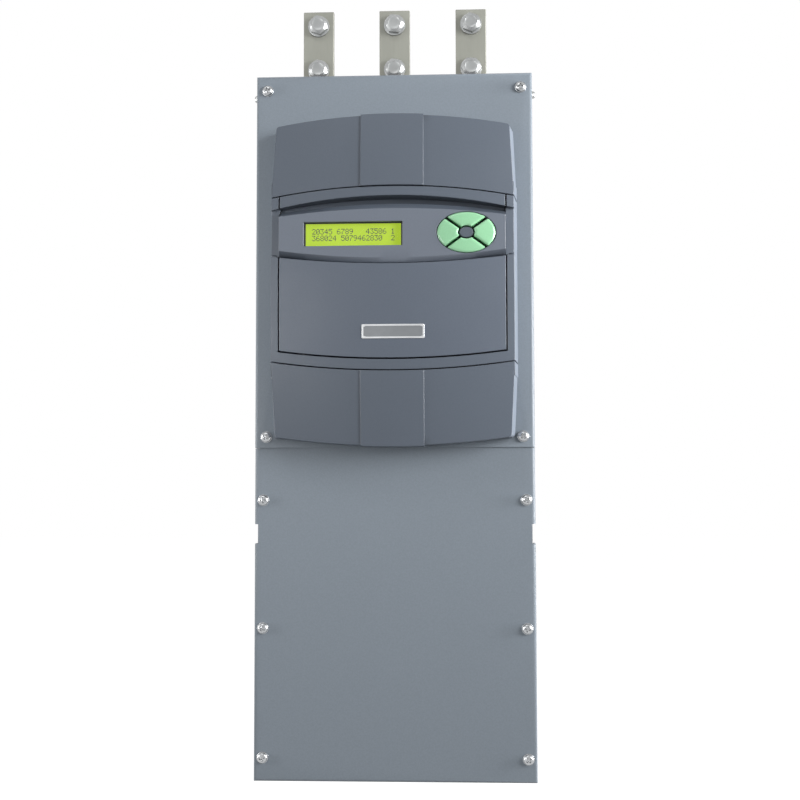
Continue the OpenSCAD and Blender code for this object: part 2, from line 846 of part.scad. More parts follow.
module lower_end_cap() {
    color([0.4, 0.43, 0.46])
    translate([0, 0, 2 * housing_z]) mirror([0, 0, 1]) end_cap();
}

// Side posts, lower band and back plate in one moulding, open where the
// display bezel and the door go
module front_frame() {
    color([0.42, 0.45, 0.48])
    difference() {
        union() {
            difference() {
                crowned(crown_proud, 0)
                    arched_panel(housing_half, seam_low + mould_gap, -arch_r,
                                 seam_high - mould_gap, arch_r);
                elevation(-crown_proud - cut, -plate_t)
                    arched_panel(opening_half, door_bottom - door_gap, -arch_r, seam_high + 20, arch_r);
                crowned(crown_proud - wall, cut)
                    arched_panel(opening_half, seam_low + mould_gap + wall, -arch_r,
                                 door_bottom - door_gap - wall, -arch_r);
                difference() {
                    elevation(-crown_proud - cut, -plate_t)
                        arched_panel(housing_half + cut, bezel_bottom, -arch_r, brow_bottom, brow_r);
                    crown_mass(crown_proud - channel_recess);
                }
                difference() {
                    elevation(-crown_proud - cut, -plate_t)
                        arched_panel(housing_half + cut, door_top, -arch_r, bezel_bottom + cut, -arch_r);
                    crown_mass(crown_proud - channel_recess - seam_depth);
                }
            }
            mirrored_pair()
            intersection() {
                crowned(crown_proud - channel_recess, 0)
                    arched_panel(opening_half + cut, bezel_bottom, -arch_r, brow_bottom, brow_r);
                slab(door_half + slip, far, -far, 0, 0, far);
            }
            for (p = control_board_posts)
                depth_rod(p[0], p[1], board_post_r, -control_board_out, -plate_t);
            for (p = control_board_posts)
                depth_rod(p[0], p[1], board_peg_r, -control_board_out - board_t - 0.6, -plate_t);
        }
        upright_rod(hinge_x, -hinge_out, hinge_pin_d / 2 + pin_clear, seam_low, lower_wall_z + cut);
        slab(-cable_window[0] / 2, cable_window[0] / 2, -plate_t - cut, cut,
             cable_window_z - cable_window[1] / 2, cable_window_z + cable_window[1] / 2);
        for (x = [-frame_screw_x, frame_screw_x], z = frame_screw_zs)
            depth_rod(x, z, small_screw_r + thread_slip, -small_screw_len, cut);
        for (x = [-bezel_boss_x, bezel_boss_x])
            depth_rod(x, bezel_boss_z, small_screw_r + screw_slip, -plate_t - cut, cut);
    }
}

// Top of the frame's lower band and foot of the bezel, where the pins turn
lower_wall_z = edge_z(hinge_x, door_bottom - door_gap, -arch_r);
upper_wall_z = edge_z(hinge_x, bezel_bottom, -arch_r);
door_foot_z = edge_z(hinge_x, door_bottom, -arch_r);
door_head_z = edge_z(hinge_x, door_top, -arch_r);

control_board_posts = [for (sx = [-1, 1], sz = [-1, 1])
    [control_board_x + sx * (control_board_size[0] / 2 - board_inset),
     control_board_z + sz * (control_board_size[1] / 2 - board_inset)]];

housing_screw_points = concat(
    [for (x = [-frame_screw_x, frame_screw_x], z = frame_screw_zs) [x, z]],
    [for (x = [-cap_boss_x, cap_boss_x], s = [-1, 1]) [x, housing_z + s * cap_boss_rise]],
    [for (x = [-bezel_boss_x, bezel_boss_x]) [x, bezel_boss_z]]);

module housing_screws() {
    color([0.7, 0.71, 0.7])
    for (p = housing_screw_points)
        translate([p[0], front_y + cover_sheet, p[1]]) rotate([90, 0, 0]) {
            translate([0, 0, -small_head_h]) cylinder(r = small_head_r, h = small_head_h);
            cylinder(r = small_screw_r, h = small_screw_len - 1);
        }
}

// One section of the bezel at x: foot, lower slope, crowned face, upper
// slope, finger groove and brow, as points of depth and height
function bezel_section(x) =
    let (foot = edge_z(x, bezel_bottom, -arch_r),
         low = edge_z(x, face_bottom, -arch_r),
         high = edge_z(x, face_top, face_top_r),
         slope = edge_z(x, slope_top, face_top_r),
         brow = edge_z(x, brow_bottom, brow_r),
         top = edge_z(x, seam_high - mould_gap, arch_r))
    concat([[-plate_t, foot], [crown_d(x, foot) + lower_slope_depth, foot]],
           [for (i = [0:4]) let (z = low + (high - low) * i / 4) [face_d(x, z), z]],
           [[crown_d(x, slope) + slope_depth, slope], [-groove_floor, slope],
            [-groove_floor, brow], [crown_d(x, brow), brow], [crown_d(x, top), top],
            [-plate_t, top]]);

// Loft through the sections
module bezel_loft() {
    n = 32;
    sections = [for (i = [0:n]) bezel_section(door_half * (2 * i / n - 1))];
    m = len(sections[0]);
    points = [for (i = [0:n], p = sections[i]) [door_half * (2 * i / n - 1), front_y + p[0], p[1]]];
    sides = [for (i = [0:n - 1], j = [0:m - 1]) let (k = (j + 1) % m)
        [i * m + j, i * m + k, (i + 1) * m + k, (i + 1) * m + j]];
    ends = [[for (j = [m - 1:-1:0]) j], [for (j = [0:m - 1]) n * m + j]];
    polyhedron(points, concat(sides, ends), convexity = 6);
}

module lcd_opening(grow) {
    translate([lcd_x - lcd_open_w / 2 - grow, lcd_z - lcd_open_h / 2 - grow])
        square([lcd_open_w + 2 * grow, lcd_open_h + 2 * grow]);
}

module keypad_oval(grow) {
    translate([keypad_x, keypad_z]) polygon(ellipse(keypad_w / 2 + grow, keypad_h / 2 + grow));
}

module hub_oval(grow) {
    translate([keypad_x, keypad_z]) polygon(ellipse(hub_w / 2 + grow, hub_h / 2 + grow));
}

stem_points = [[stem_x, 0], [-stem_x, 0], [0, stem_z], [0, -stem_z]];

peg_points = [for (sx = [-1, 1], sz = [-1, 1])
    [sx * peg_reach * keypad_w / 2 * cos(peg_angle), sz * peg_reach * keypad_w / 2 * sin(peg_angle)]];

module display_bezel() {
    color([0.5, 0.52, 0.56])
    difference() {
        union() {
            difference() {
                bezel_loft();
                crowned(crown_proud - wall, 0)
                    arched_panel(door_half - wall, face_bottom + 2, -arch_r, face_top - 2, face_top_r);
                elevation(-hinge_out, 0)
                    arched_panel(door_half - wall, bezel_bottom + wall, -arch_r, face_top - 2, face_top_r);
                difference() {
                    elevation(wall - groove_floor, 0)
                        arched_panel(door_half - wall, face_top - 2 - cut, face_top_r,
                                     seam_high - mould_gap - wall, arch_r);
                    for (x = [-bezel_boss_x, bezel_boss_x])
                        depth_rod(x, bezel_boss_z, boss_r, -groove_floor, 0);
                }
            }
            crowned(crown_proud - wall / 2, -lcd_window_out) lcd_opening(lcd_rim);
            crowned(crown_proud - wall / 2, floor_t - key_floor) keypad_oval(key_clear + floor_t);
            for (p = peg_points)
                depth_rod(keypad_x + p[0], keypad_z + p[1], board_peg_r, -key_floor, -keypad_board_out);
            for (p = lcd_post_points) {
                depth_rod(p[0], p[1], board_post_r, crown_d(p[0], p[1]) + wall / 2, lcd_board_front);
                depth_rod(p[0], p[1], board_peg_r, -lcd_front, lcd_board_front + board_t + 0.6);
            }
        }
        slab(wall - door_half, hinge_x + knuckle_h, -hinge_recess_out, cut, door_top - 10,
             edge_z(door_half, door_top, -arch_r) + 1.8);
        centred_block(lcd_x, lcd_z, lcd_frame_size[0] + 2 * slip, lcd_frame_size[1] + 2 * slip, -lcd_front, 0);
        elevation(-crown_proud - cut, cut) lcd_opening(0);
        elevation(-lcd_window_out, 0) lcd_opening(lcd_rim + slip);
        difference() {
            elevation(-crown_proud - cut, -key_floor) keypad_oval(key_clear);
            crowned(crown_proud - face_setback + hub_rise, 0, face_rh) hub_oval(0);
        }
        for (p = stem_points)
            depth_rod(keypad_x + p[0], keypad_z + p[1], key_stem_d / 2 + key_clear, -key_floor - cut, 0);
        upright_rod(hinge_x, -hinge_out, hinge_pin_d / 2 + pin_clear, door_top - cut, upper_wall_z + pin_in_wall);
        for (x = [-bezel_boss_x, bezel_boss_x])
            depth_rod(x, bezel_boss_z, small_screw_r + thread_slip, -small_screw_len, cut);
    }
}

module centred_block(x, z, w, h, d0, d1) {
    slab(x - w / 2, x + w / 2, d0, d1, z - h / 2, z + h / 2);
}

module display_window() {
    color([0.85, 0.9, 0.85, 0.3])
    centred_block(lcd_x, lcd_z, lcd_open_w + 2 * lcd_rim, lcd_open_h + 2 * lcd_rim,
                  -lcd_window_out, window_t - lcd_window_out);
}

lcd_front = lcd_window_out - window_t;
lcd_board_front = lcd_frame_size[2] - lcd_front;

// Posts of the display board, beside the display
lcd_post_points = [for (sx = [-1, 1], sz = [-1, 1])
    [lcd_x + sx * (lcd_board_size[0] / 2 - 4), lcd_z + sz * (lcd_board_size[1] / 2 - 4)]];

module lcd_frame() {
    color([0.1, 0.1, 0.1])
    difference() {
        centred_block(lcd_x, lcd_z, lcd_frame_size[0], lcd_frame_size[1], -lcd_front, lcd_frame_size[2] - lcd_front);
        centred_block(lcd_x, lcd_z, lcd_glass_w, lcd_glass_h, -lcd_front - cut, lcd_frame_size[2] - lcd_front + cut);
    }
}

module lcd_glass() {
    color([0.66, 0.8, 0.22])
    centred_block(lcd_x, lcd_z, lcd_glass_w - 2 * thread_slip, lcd_glass_h - 2 * thread_slip,
                  lcd_lip - lcd_front, lcd_frame_size[2] - lcd_front);
}

module lcd_board() {
    color([0.1, 0.35, 0.2])
    difference() {
        centred_block(lcd_x, lcd_z, lcd_board_size[0], lcd_board_size[1], lcd_board_front,
                      lcd_board_front + board_t);
        for (p = lcd_post_points)
            depth_rod(p[0], p[1], board_peg_r + thread_slip, lcd_board_front - cut, lcd_board_front + board_t + cut);
    }
}

// Outline of one key: the oval less the gaps and the hub, within one sector
module key_outline(middle, spread) {
    reach = keypad_w;
    intersection() {
        difference() {
            keypad_oval(0);
            translate([keypad_x, keypad_z])
            for (a = [-key_split, key_split])
                rotate(a) square([2 * reach, key_gap], center = true);
            hub_oval(key_gap / 2);
        }
        translate([keypad_x, keypad_z])
        polygon([[0, 0], [reach * cos(middle - spread), reach * sin(middle - spread)],
                 [2 * reach * cos(middle), 2 * reach * sin(middle)],
                 [reach * cos(middle + spread), reach * sin(middle + spread)]]);
    }
}

keypad_slope = [keypad_x / crown_ring(keypad_z, face_rh), (keypad_z - housing_z) / crown_rv];
keypad_normal_y = -sqrt(1 - pow(keypad_slope[0], 2) - pow(keypad_slope[1], 2));
dome_back = key_dome_r - key_rise;

// A key with its stem; stem is its place from the middle of the oval
module key(middle, spread, stem) {
    color([0.6, 0.85, 0.66])
    intersection() {
        union() {
            elevation(-crown_proud, -key_back) key_outline(middle, spread);
            depth_rod(keypad_x + stem[0], keypad_z + stem[1], key_stem_d / 2, -key_back - 1, -stem_out);
        }
        translate([keypad_x - dome_back * keypad_slope[0],
                   front_y + face_d(keypad_x, keypad_z) - dome_back * keypad_normal_y,
                   keypad_z - dome_back * keypad_slope[1]])
            sphere(r = key_dome_r, $fn = 240);
    }
}

module key_right() {
    key(0, key_split, stem_points[0]);
}

module key_left() {
    key(180, key_split, stem_points[1]);
}

module key_up() {
    key(90, 90 - key_split, stem_points[2]);
}

module key_down() {
    key(270, 90 - key_split, stem_points[3]);
}

module key_mat() {
    color([0.2, 0.42, 0.28])
    difference() {
        elevation(-key_floor - mat_t, -key_floor) keypad_oval(0);
        elevation(-key_floor - mat_t - cut, cut - key_floor) hub_oval(slip);
        for (p = stem_points)
            depth_rod(keypad_x + p[0], keypad_z + p[1], key_stem_d / 2 + key_clear,
                      -key_floor - mat_t - cut, cut - key_floor);
    }
}

module keypad_board() {
    color([0.1, 0.35, 0.2])
    centred_block(keypad_x, keypad_z, keypad_w + 4, keypad_h, -keypad_board_out, board_t - keypad_board_out);
}

module key_switches() {
    color([0.12, 0.12, 0.13])
    for (p = stem_points) {
        centred_block(keypad_x + p[0], keypad_z + p[1], switch_size, switch_size,
                      plunger_h - switch_front, -keypad_board_out);
        depth_rod(keypad_x + p[0], keypad_z + p[1], plunger_r, -switch_front, plunger_h - switch_front);
    }
}

// Door: crowned skin with a rim, and a knuckle at each end of its hinge
module control_door() {
    color([0.43, 0.46, 0.49])
    difference() {
        union() {
            difference() {
                crowned(crown_proud, -door_rim_out) arched_panel(door_half, door_bottom, -arch_r, door_top, -arch_r);
                crowned(crown_proud - wall, 0)
                    arched_panel(door_half - wall, door_bottom + wall, -arch_r, door_top - wall, -arch_r);
            }
            intersection() {
                union() {
                    hinge_knuckle(door_foot_z + hinge_clear, door_foot_z + hinge_clear + knuckle_h);
                    hinge_knuckle(door_head_z - hinge_clear - knuckle_h, door_head_z - hinge_clear);
                }
                crown_mass(crown_proud);
            }
        }
        upright_rod(hinge_x, -hinge_out, hinge_pin_d / 2, door_bottom - cut, door_foot_z + hinge_clear + knuckle_h + cut);
        upright_rod(hinge_x, -hinge_out, hinge_pin_d / 2, door_head_z - hinge_clear - knuckle_h - cut, door_top + 20);
    }
}

// Knuckle blended into the back of the door's skin
module hinge_knuckle(z0, z1) {
    upright_rod(hinge_x, -hinge_out, knuckle_r, z0, z1);
    slab(hinge_x - knuckle_r, hinge_x + knuckle_r, -crown_proud, -hinge_out, z0, z1);
}

module door_hinge_pins() {
    color([0.75, 0.76, 0.75]) {
        upright_rod(hinge_x, -hinge_out, hinge_pin_d / 2, lower_wall_z - pin_in_wall, door_foot_z + knuckle_h);
        upright_rod(hinge_x, -hinge_out, hinge_pin_d / 2, door_head_z - knuckle_h, upper_wall_z + pin_in_wall - 0.3);
    }
}

module badge_plate() {
    r = 1;
    bond = 0.05;
    color([0.8, 0.81, 0.82])
    difference() {
        crowned(crown_proud + badge_rise, 0)
        translate([badge_x, badge_z])
        polygon(concat(corner(badge_w / 2 - r, badge_h / 2 - r, r, 0, 90),
                       corner(r - badge_w / 2, badge_h / 2 - r, r, 90, 180),
                       corner(r - badge_w / 2, r - badge_h / 2, r, 180, 270),
                       corner(badge_w / 2 - r, r - badge_h / 2, r, 270, 360)));
        crown_mass(crown_proud + bond);
    }
}

// Electronics behind the door

module control_board() {
    color([0.1, 0.35, 0.2])
    difference() {
        centred_block(control_board_x, control_board_z, control_board_size[0], control_board_size[1],
                      -control_board_out - board_t, -control_board_out);
        for (p = control_board_posts)
            depth_rod(p[0], p[1], board_peg_r + thread_slip, -control_board_out - board_t - cut, cut);
    }
}

board_face = -control_board_out - board_t;

// Rows of screw terminals along the foot of the board
module terminal_blocks() {
    poles = 11;
    pitch = 5;
    color([0.2, 0.45, 0.3])
    for (x = [-28, 32])
        difference() {
            slab(control_board_x + x - poles * pitch / 2, control_board_x + x + poles * pitch / 2,
                 board_face - 9, board_face,
                 control_board_z - control_board_size[1] / 2 + 8, control_board_z - control_board_size[1] / 2 + 18);
            for (i = [0:poles - 1])
                depth_rod(control_board_x + x + (i - (poles - 1) / 2) * pitch,
                          control_board_z - control_board_size[1] / 2 + 13, 1.7, board_face - 9 - cut, board_face - 4);
        }
}

// Processor, drivers, sockets and capacitors on the control board
module control_parts() {
    z = control_board_z;
    x = control_board_x;
    color([0.13, 0.13, 0.14]) {
        centred_block(x - 20, z + 8, 24, 24, board_face - 2.6, board_face);
        for (i = [0:2])
            centred_block(x + 18 + i * 17, z + 12, 12, 9, board_face - 2.2, board_face);
        centred_block(x - 56, z + 10, 12, 20, board_face - 7, board_face);
        for (i = [0:3])
            depth_rod(x + 8 + i * 13, z - 6, 4, board_face - 9, board_face);
    }
}

module ribbon_cable() {
    w = 26;
    plug = 8;
    back = lcd_board_front + board_t;
    color([0.62, 0.62, 0.64]) {
        centred_block(0, lcd_z, w, 1.2, back + plug, power_board_depth - plug);
        centred_block(0, lcd_z, w + 6, 7, back, back + plug);
        centred_block(0, lcd_z, w + 6, 7, power_board_depth - plug, power_board_depth);
    }
}

// Power section

// Carrier plate for the power board, folded forward at both sides
module chassis_plate() {
    color([0.62, 0.64, 0.66])
    difference() {
        plan(plate_bottom, plate_top)
        translate([0, plate_depth + chassis_sheet]) mirror([0, 1])
        channel(2 * panel_inner_half, plate_fold, bend_r, chassis_sheet);
        for (z = [plate_bottom + 40, plate_top - 40])
            centred_block(0, z, 60, 24, plate_depth - cut, plate_depth + chassis_sheet + cut);
    }
}

standoff_points = [for (x = [-1, 0, 1], z = [power_board_zs[0] + 8, power_board_zs[1] - 8])
    [x * (power_board_half - 8), z]];

module board_standoffs() {
    color([0.75, 0.72, 0.5])
    for (p = standoff_points)
        depth_rod(p[0], p[1], standoff_r, power_board_depth + board_t, plate_depth);
}

module power_board() {
    color([0.1, 0.35, 0.2])
    slab(-power_board_half, power_board_half, power_board_depth, power_board_depth + board_t,
         power_board_zs[0], power_board_zs[1]);
}

// Transformers, relays and capacitors on the power board
module power_parts() {
    d = power_board_depth;
    pitch = power_board_half / 5;
    color([0.15, 0.15, 0.16]) {
        for (x = [-3.4, 3.4])
            centred_block(x * pitch, power_board_zs[0] + 54, transformer_size[0], transformer_size[1],
                          d - transformer_size[2], d);
        for (i = [-3, -1, 1, 3])
            centred_block(i * pitch, power_board_zs[1] - 41, relay_size[0], relay_size[1], d - relay_size[2], d);
        for (i = [-3.5, -1.75, 0, 1.75, 3.5])
            depth_rod(i * pitch, power_board_zs[0] + 104, capacitor_size[0], d - capacitor_size[1], d);
    }
}

// Extruded heatsink with its fins towards the wall
module heatsink() {
    pitch = (2 * sink_half - fin_t - 8) / (fin_count - 1);
    color([0.75, 0.76, 0.78])
    difference() {
        plan(sink_bottom, sink_top)
        union() {
            translate([-sink_half, sink_front]) square([2 * sink_half, sink_base]);
            for (i = [0:fin_count - 1])
                translate([4 - sink_half + i * pitch, fin_front - cut]) square([fin_t, fin_back - fin_front + cut]);
        }
        mirrored_pair()
        for (z = sink_screw_zs)
            across_rod(z, sink_front + sink_base / 2, shank_r + thread_slip, sink_half - 14, sink_half + cut);
    }
}

function bar_centre(i) = bar_x + (i - 2) * bar_pitch;

function terminal_z(k) = module_bottom + k * module_len / 4;

module thyristor_module(i) {
    x = bar_centre(i);
    color([0.2, 0.2, 0.22])
    slab(x - module_w / 2, x + module_w / 2, module_front, sink_front, module_bottom, module_top);
    color([0.8, 0.8, 0.8])
    for (k = [1:3])
        centred_block(x, terminal_z(k), terminal_w, terminal_h, bar_back, module_front + cut);
}

module thyristor_module_1() {
    thyristor_module(1);
}

module thyristor_module_2() {
    thyristor_module(2);
}

module thyristor_module_3() {
    thyristor_module(3);
}

module ac_busbar(i) {
    x = bar_centre(i);
    color([0.68, 0.68, 0.65])
    difference() {
        slab(x - bar_w / 2, x + bar_w / 2, bar_depth, bar_back, ac_bottom, bar_top);
        for (z = [upper_bolt_z, lower_bolt_z])
            depth_rod(x, z, bolt_hole_r, bar_depth - cut, bar_back + cut);
    }
}

module ac_busbar_1() {
    ac_busbar(1);
}

module ac_busbar_2() {
    ac_busbar(2);
}

module ac_busbar_3() {
    ac_busbar(3);
}

// Hexagon prism along the depth, by its width across the flats
module depth_hex(x, z, flats, turn, d0, d1) {
    translate([x, front_y + d1, z]) rotate([90, 0, 0]) rotate(turn)
        cylinder(d = flats / cos(30), h = d1 - d0, $fn = 6);
}

// Bolt through a bar of thickness t, with both washers and its nut
module bar_bolt(x, z, front, t, turn) {
    depth_hex(x, z, bolt_flats, turn, front - washer_t - head_h, front - washer_t);
    depth_rod(x, z, bolt_flats / 2, front - washer_t - head_h - 0.4, front - washer_t - head_h + cut);
    depth_rod(x, z, bolt_washer_d / 2, front - washer_t, front);
    depth_rod(x, z, bolt_d / 2, front - washer_t, front + t + washer_t + nut_h + 3);
    depth_rod(x, z, bolt_washer_d / 2, front + t, front + t + washer_t);
    depth_hex(x, z, bolt_flats, turn + 20, front + t + washer_t, front + t + washer_t + nut_h);
}

module busbar_bolts() {
    turns = [[12, 5], [24, 18], [8, 27]];
    color([0.75, 0.76, 0.74])
    for (i = [1:3], k = [0, 1])
        bar_bolt(bar_centre(i), k == 0 ? upper_bolt_z : lower_bolt_z, bar_depth, bar_t, turns[i - 1][k]);
}

// Insulating plate that the busbars pass through
module busbar_insulator() {
    mid = bar_depth + bar_t / 2;
    half_w = bar_window[0] / 2 + insulator_lap;
    half_d = bar_window[1] / 2 + insulator_lap;
    color([0.75, 0.3, 0.2])
    difference() {
        slab(bar_x - half_w, bar_x + half_w, mid - half_d, mid + half_d, chassis_top, chassis_top + insulator_t);
        for (i = [1:3])
            slab(bar_centre(i) - bar_w / 2 - slip, bar_centre(i) + bar_w / 2 + slip,
                 bar_depth - slip, bar_back + slip, chassis_top - cut, chassis_top + insulator_t + cut);
        for (x = insulator_screw_xs)
            upright_rod(x, mid, shank_r + screw_slip, chassis_top - cut, chassis_top + insulator_t + cut);
    }
}

module current_transformer(i) {
    x = bar_centre(i);
    mid = bar_depth + bar_t / 2;
    color([0.16, 0.17, 0.2])
    difference() {
        slab(x - ct_size[0] / 2, x + ct_size[0] / 2, plate_depth + chassis_sheet, mid + ct_size[1] / 2,
             ct_z - ct_size[2] / 2, ct_z + ct_size[2] / 2);
        slab(x - bar_w / 2 - slip, x + bar_w / 2 + slip, bar_depth - slip, bar_back + slip, 0, far);
    }
}

module current_transformer_1() {
    current_transformer(1);
}

module current_transformer_2() {
    current_transformer(3);
}

// Output busbar: an arm across one row of terminals and a leg down to its bolt
module dc_busbar(x, row, x0, x1) {
    z = terminal_z(row);
    color([0.72, 0.52, 0.36])
    difference() {
        union() {
            slab(x0, x1, bar_depth, bar_back, z - terminal_h / 2, z + terminal_h / 2);
            slab(x - dc_w / 2, x + dc_w / 2, bar_depth, bar_back, dc_bottom, z);
        }
        for (z = [dc_bolt_z, post_z])
            depth_rod(x, z, bolt_d / 2 + 0.5, bar_depth - cut, bar_back + cut);
    }
}

dc_xs = [bar_x - bar_pitch / 2, bar_centre(3) + terminal_w / 2 + 6 + dc_w / 2];

module dc_busbar_positive() {
    dc_busbar(dc_xs[0], 1, bar_centre(1) - terminal_w / 2, bar_centre(3) + terminal_w / 2);
}

module dc_busbar_negative() {
    dc_busbar(dc_xs[1], 2, bar_centre(1) - terminal_w / 2, dc_xs[1] + dc_w / 2);
}

// Bolts at the feet of the output busbars, in the posts and on the terminals
module dc_busbar_bolts() {
    color([0.75, 0.76, 0.74]) {
        for (x = dc_xs) {
            bar_bolt(x, dc_bolt_z, bar_depth, bar_t, 10);
            depth_hex(x, post_z, bolt_flats, 0, bar_depth - head_h, bar_depth);
            depth_rod(x, post_z, bolt_d / 2, bar_depth - 1, bar_back + 16);
        }
        for (i = [1:3], k = [1:3])
            depth_hex(bar_centre(i), terminal_z(k), terminal_flats, 0, bar_depth - terminal_head_h, bar_depth);
    }
}

module insulator_posts() {
    color([0.55, 0.18, 0.13])
    for (x = dc_xs)
        difference() {
            depth_rod(x, post_z, post_r, bar_back, sink_front);
            depth_rod(x, post_z, bolt_d / 2 + thread_slip, bar_back - cut, bar_back + 18);
        }
}

// Axial fan: square frame with a bearing seat, and a bladed rotor
module fan_frame(x) {
    z1 = fan_bottom + fan_t;
    color([0.15, 0.15, 0.16])
    difference() {
        union() {
            difference() {
                slab(x - fan_size / 2, x + fan_size / 2, fan_depth - fan_size / 2, fan_depth + fan_size / 2,
                     fan_bottom, z1);
                upright_rod(x, fan_depth, fan_bore_r, fan_bottom - cut, z1 + cut);
            }
            upright_rod(x, fan_depth, fan_hub_r, z1 - fan_seat_t, z1);
            for (a = [0, 90])
                translate([x, front_y + fan_depth, z1 - 4]) rotate(a + 45)
                translate([-fan_bore_r - 1, -3, 0]) cube([2 * fan_bore_r + 2, 6, 4]);
        }
        upright_rod(x, fan_depth, axle_r + pin_clear, z1 - fan_seat_t - cut, z1 + cut);
        for (dx = [-fan_hole_pitch / 2, fan_hole_pitch / 2], dy = [-fan_hole_pitch / 2, fan_hole_pitch / 2])
            upright_rod(x + dx, fan_depth + dy, 2 + thread_slip, fan_bottom - cut, fan_bottom + 12);
    }
}

module fan_rotor(x) {
    z0 = fan_bottom + 4;
    z1 = fan_bottom + fan_t - fan_seat_t - 1;
    color([0.12, 0.12, 0.13]) {
        upright_rod(x, fan_depth, fan_hub_r, z0, z1);
        upright_rod(x, fan_depth, axle_r, z1 - cut, fan_bottom + fan_t - 1);
        translate([x, front_y + fan_depth, (z0 + z1) / 2])
        intersection() {
            for (i = [0:blade_count - 1])
                rotate(360 * i / blade_count) rotate([38, 0, 0])
                translate([fan_hub_r - 2, -1, -far / 2]) cube([blade_tip_r, 2, far]);
            cylinder(r = blade_tip_r, h = z1 - z0 - 2, center = true);
        }
    }
}

module fan_frame_left() {
    fan_frame(-fan_x);
}

module fan_frame_right() {
    fan_frame(fan_x);
}

module fan_rotor_left() {
    fan_rotor(-fan_x);
}

module fan_rotor_right() {
    fan_rotor(fan_x);
}

// Outline of the cable entry, grown outwards by grow
module entry_outline(grow) {
    r = entry_corner_r + grow;
    w = entry_w / 2 - entry_corner_r;
    h = entry_len / 2 - entry_corner_r;
    translate([0, entry_depth])
    polygon(concat(corner(w, h, r, 0, 90), corner(-w, h, r, 90, 180),
                   corner(-w, -h, r, 180, 270), corner(w, -h, r, 270, 360)));
}

// Rubber edging that grips the sheet around the cable entry
module cable_edging() {
    color([0.08, 0.08, 0.08])
    difference() {
        union() {
            plan(chassis_bottom - lip_t, fan_bottom + lip_t) entry_outline(0);
            plan(chassis_bottom - lip_t, chassis_bottom) entry_outline(lip_w);
            plan(fan_bottom, fan_bottom + lip_t) entry_outline(lip_w);
        }
        plan(-cut, fan_bottom + 2 * lip_t) entry_outline(-edging_t);
    }
}

module earth_stud() {
    color([0.8, 0.7, 0.35]) {
        upright_rod(stud_x, stud_depth, 4, chassis_bottom, fan_bottom + 26);
        translate([stud_x, front_y + stud_depth, fan_bottom]) cylinder(r = 8, h = 1.6);
        translate([stud_x, front_y + stud_depth, fan_bottom + 1.6]) cylinder(d = 15, h = 6.5, $fn = 6);
    }
}

rear_panel();
side_panel_left();
side_panel_right();
top_panel();
bottom_panel();
upper_cover();
lower_cover();
upper_cover_screws();
lower_cover_screws();
side_screws();
chassis_screws();
front_frame();
upper_end_cap();
lower_end_cap();
housing_screws();
display_bezel();
display_window();
lcd_frame();
lcd_glass();
lcd_board();
key_up();
key_down();
key_left();
key_right();
key_mat();
keypad_board();
key_switches();
control_door();
door_hinge_pins();
badge_plate();
control_board();
terminal_blocks();
control_parts();
ribbon_cable();
chassis_plate();
board_standoffs();
power_board();
power_parts();
heatsink();
thyristor_module_1();
thyristor_module_2();
thyristor_module_3();
ac_busbar_1();
ac_busbar_2();
ac_busbar_3();
busbar_bolts();
busbar_insulator();
current_transformer_1();
current_transformer_2();
dc_busbar_positive();
dc_busbar_negative();
dc_busbar_bolts();
insulator_posts();
fan_frame_left();
fan_frame_right();
fan_rotor_left();
fan_rotor_right();
cable_edging();
earth_stud();
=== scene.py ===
"""Looks of a wall-mounted direct-current motor controller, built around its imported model."""
import json
import math

import bmesh
import bpy
from mathutils import Matrix, Vector
from mathutils.bvhtree import BVHTree


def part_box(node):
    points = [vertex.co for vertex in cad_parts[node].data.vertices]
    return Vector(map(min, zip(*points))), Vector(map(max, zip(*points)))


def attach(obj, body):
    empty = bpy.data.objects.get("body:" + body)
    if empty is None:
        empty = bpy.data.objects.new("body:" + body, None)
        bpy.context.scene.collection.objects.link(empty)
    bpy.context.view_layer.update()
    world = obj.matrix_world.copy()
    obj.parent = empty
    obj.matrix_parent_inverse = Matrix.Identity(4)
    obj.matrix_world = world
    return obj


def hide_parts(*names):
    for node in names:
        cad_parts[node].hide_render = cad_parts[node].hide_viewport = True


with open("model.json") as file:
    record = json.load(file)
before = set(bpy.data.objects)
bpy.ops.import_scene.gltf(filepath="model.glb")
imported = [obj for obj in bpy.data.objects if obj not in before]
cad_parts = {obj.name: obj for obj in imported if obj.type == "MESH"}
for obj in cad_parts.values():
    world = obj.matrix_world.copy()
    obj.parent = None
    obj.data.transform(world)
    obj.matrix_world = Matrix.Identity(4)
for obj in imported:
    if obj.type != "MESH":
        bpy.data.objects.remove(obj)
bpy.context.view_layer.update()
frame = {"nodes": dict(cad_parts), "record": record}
nodes = frame["nodes"]

MM = 0.001

# Camera at the photograph's viewing angle: place, heading, tilt and roll
CAMERA_AT = (0.0643, -1.334, 0.259)
YAW, PITCH, ROLL = math.radians(-2.816), math.radians(3.863), math.radians(-0.110)
LENS, SENSOR_W = 60.0, 36


def add_camera():
    look = Vector((math.sin(YAW) * math.cos(PITCH), math.cos(YAW) * math.cos(PITCH),
                   math.sin(PITCH)))
    level = Vector((math.cos(YAW), -math.sin(YAW), 0))
    up = level.cross(look)
    right = math.cos(ROLL) * level + math.sin(ROLL) * up
    top = -math.sin(ROLL) * level + math.cos(ROLL) * up
    data = bpy.data.cameras.new("camera")
    data.lens = LENS
    data.sensor_width = SENSOR_W
    data.clip_start = 0.01
    camera = bpy.data.objects.new("camera", data)
    bpy.context.scene.collection.objects.link(camera)
    turn = Matrix((right, top, -look)).transposed().to_4x4()
    camera.matrix_world = Matrix.Translation(CAMERA_AT) @ turn
    bpy.context.scene.camera = camera


add_camera()


# Materials

# Noise scales, per metre, and the usual height of a bump, in metres
SPECKLE, FINE_GRAIN = 900, 5200
BUMP = 0.00003
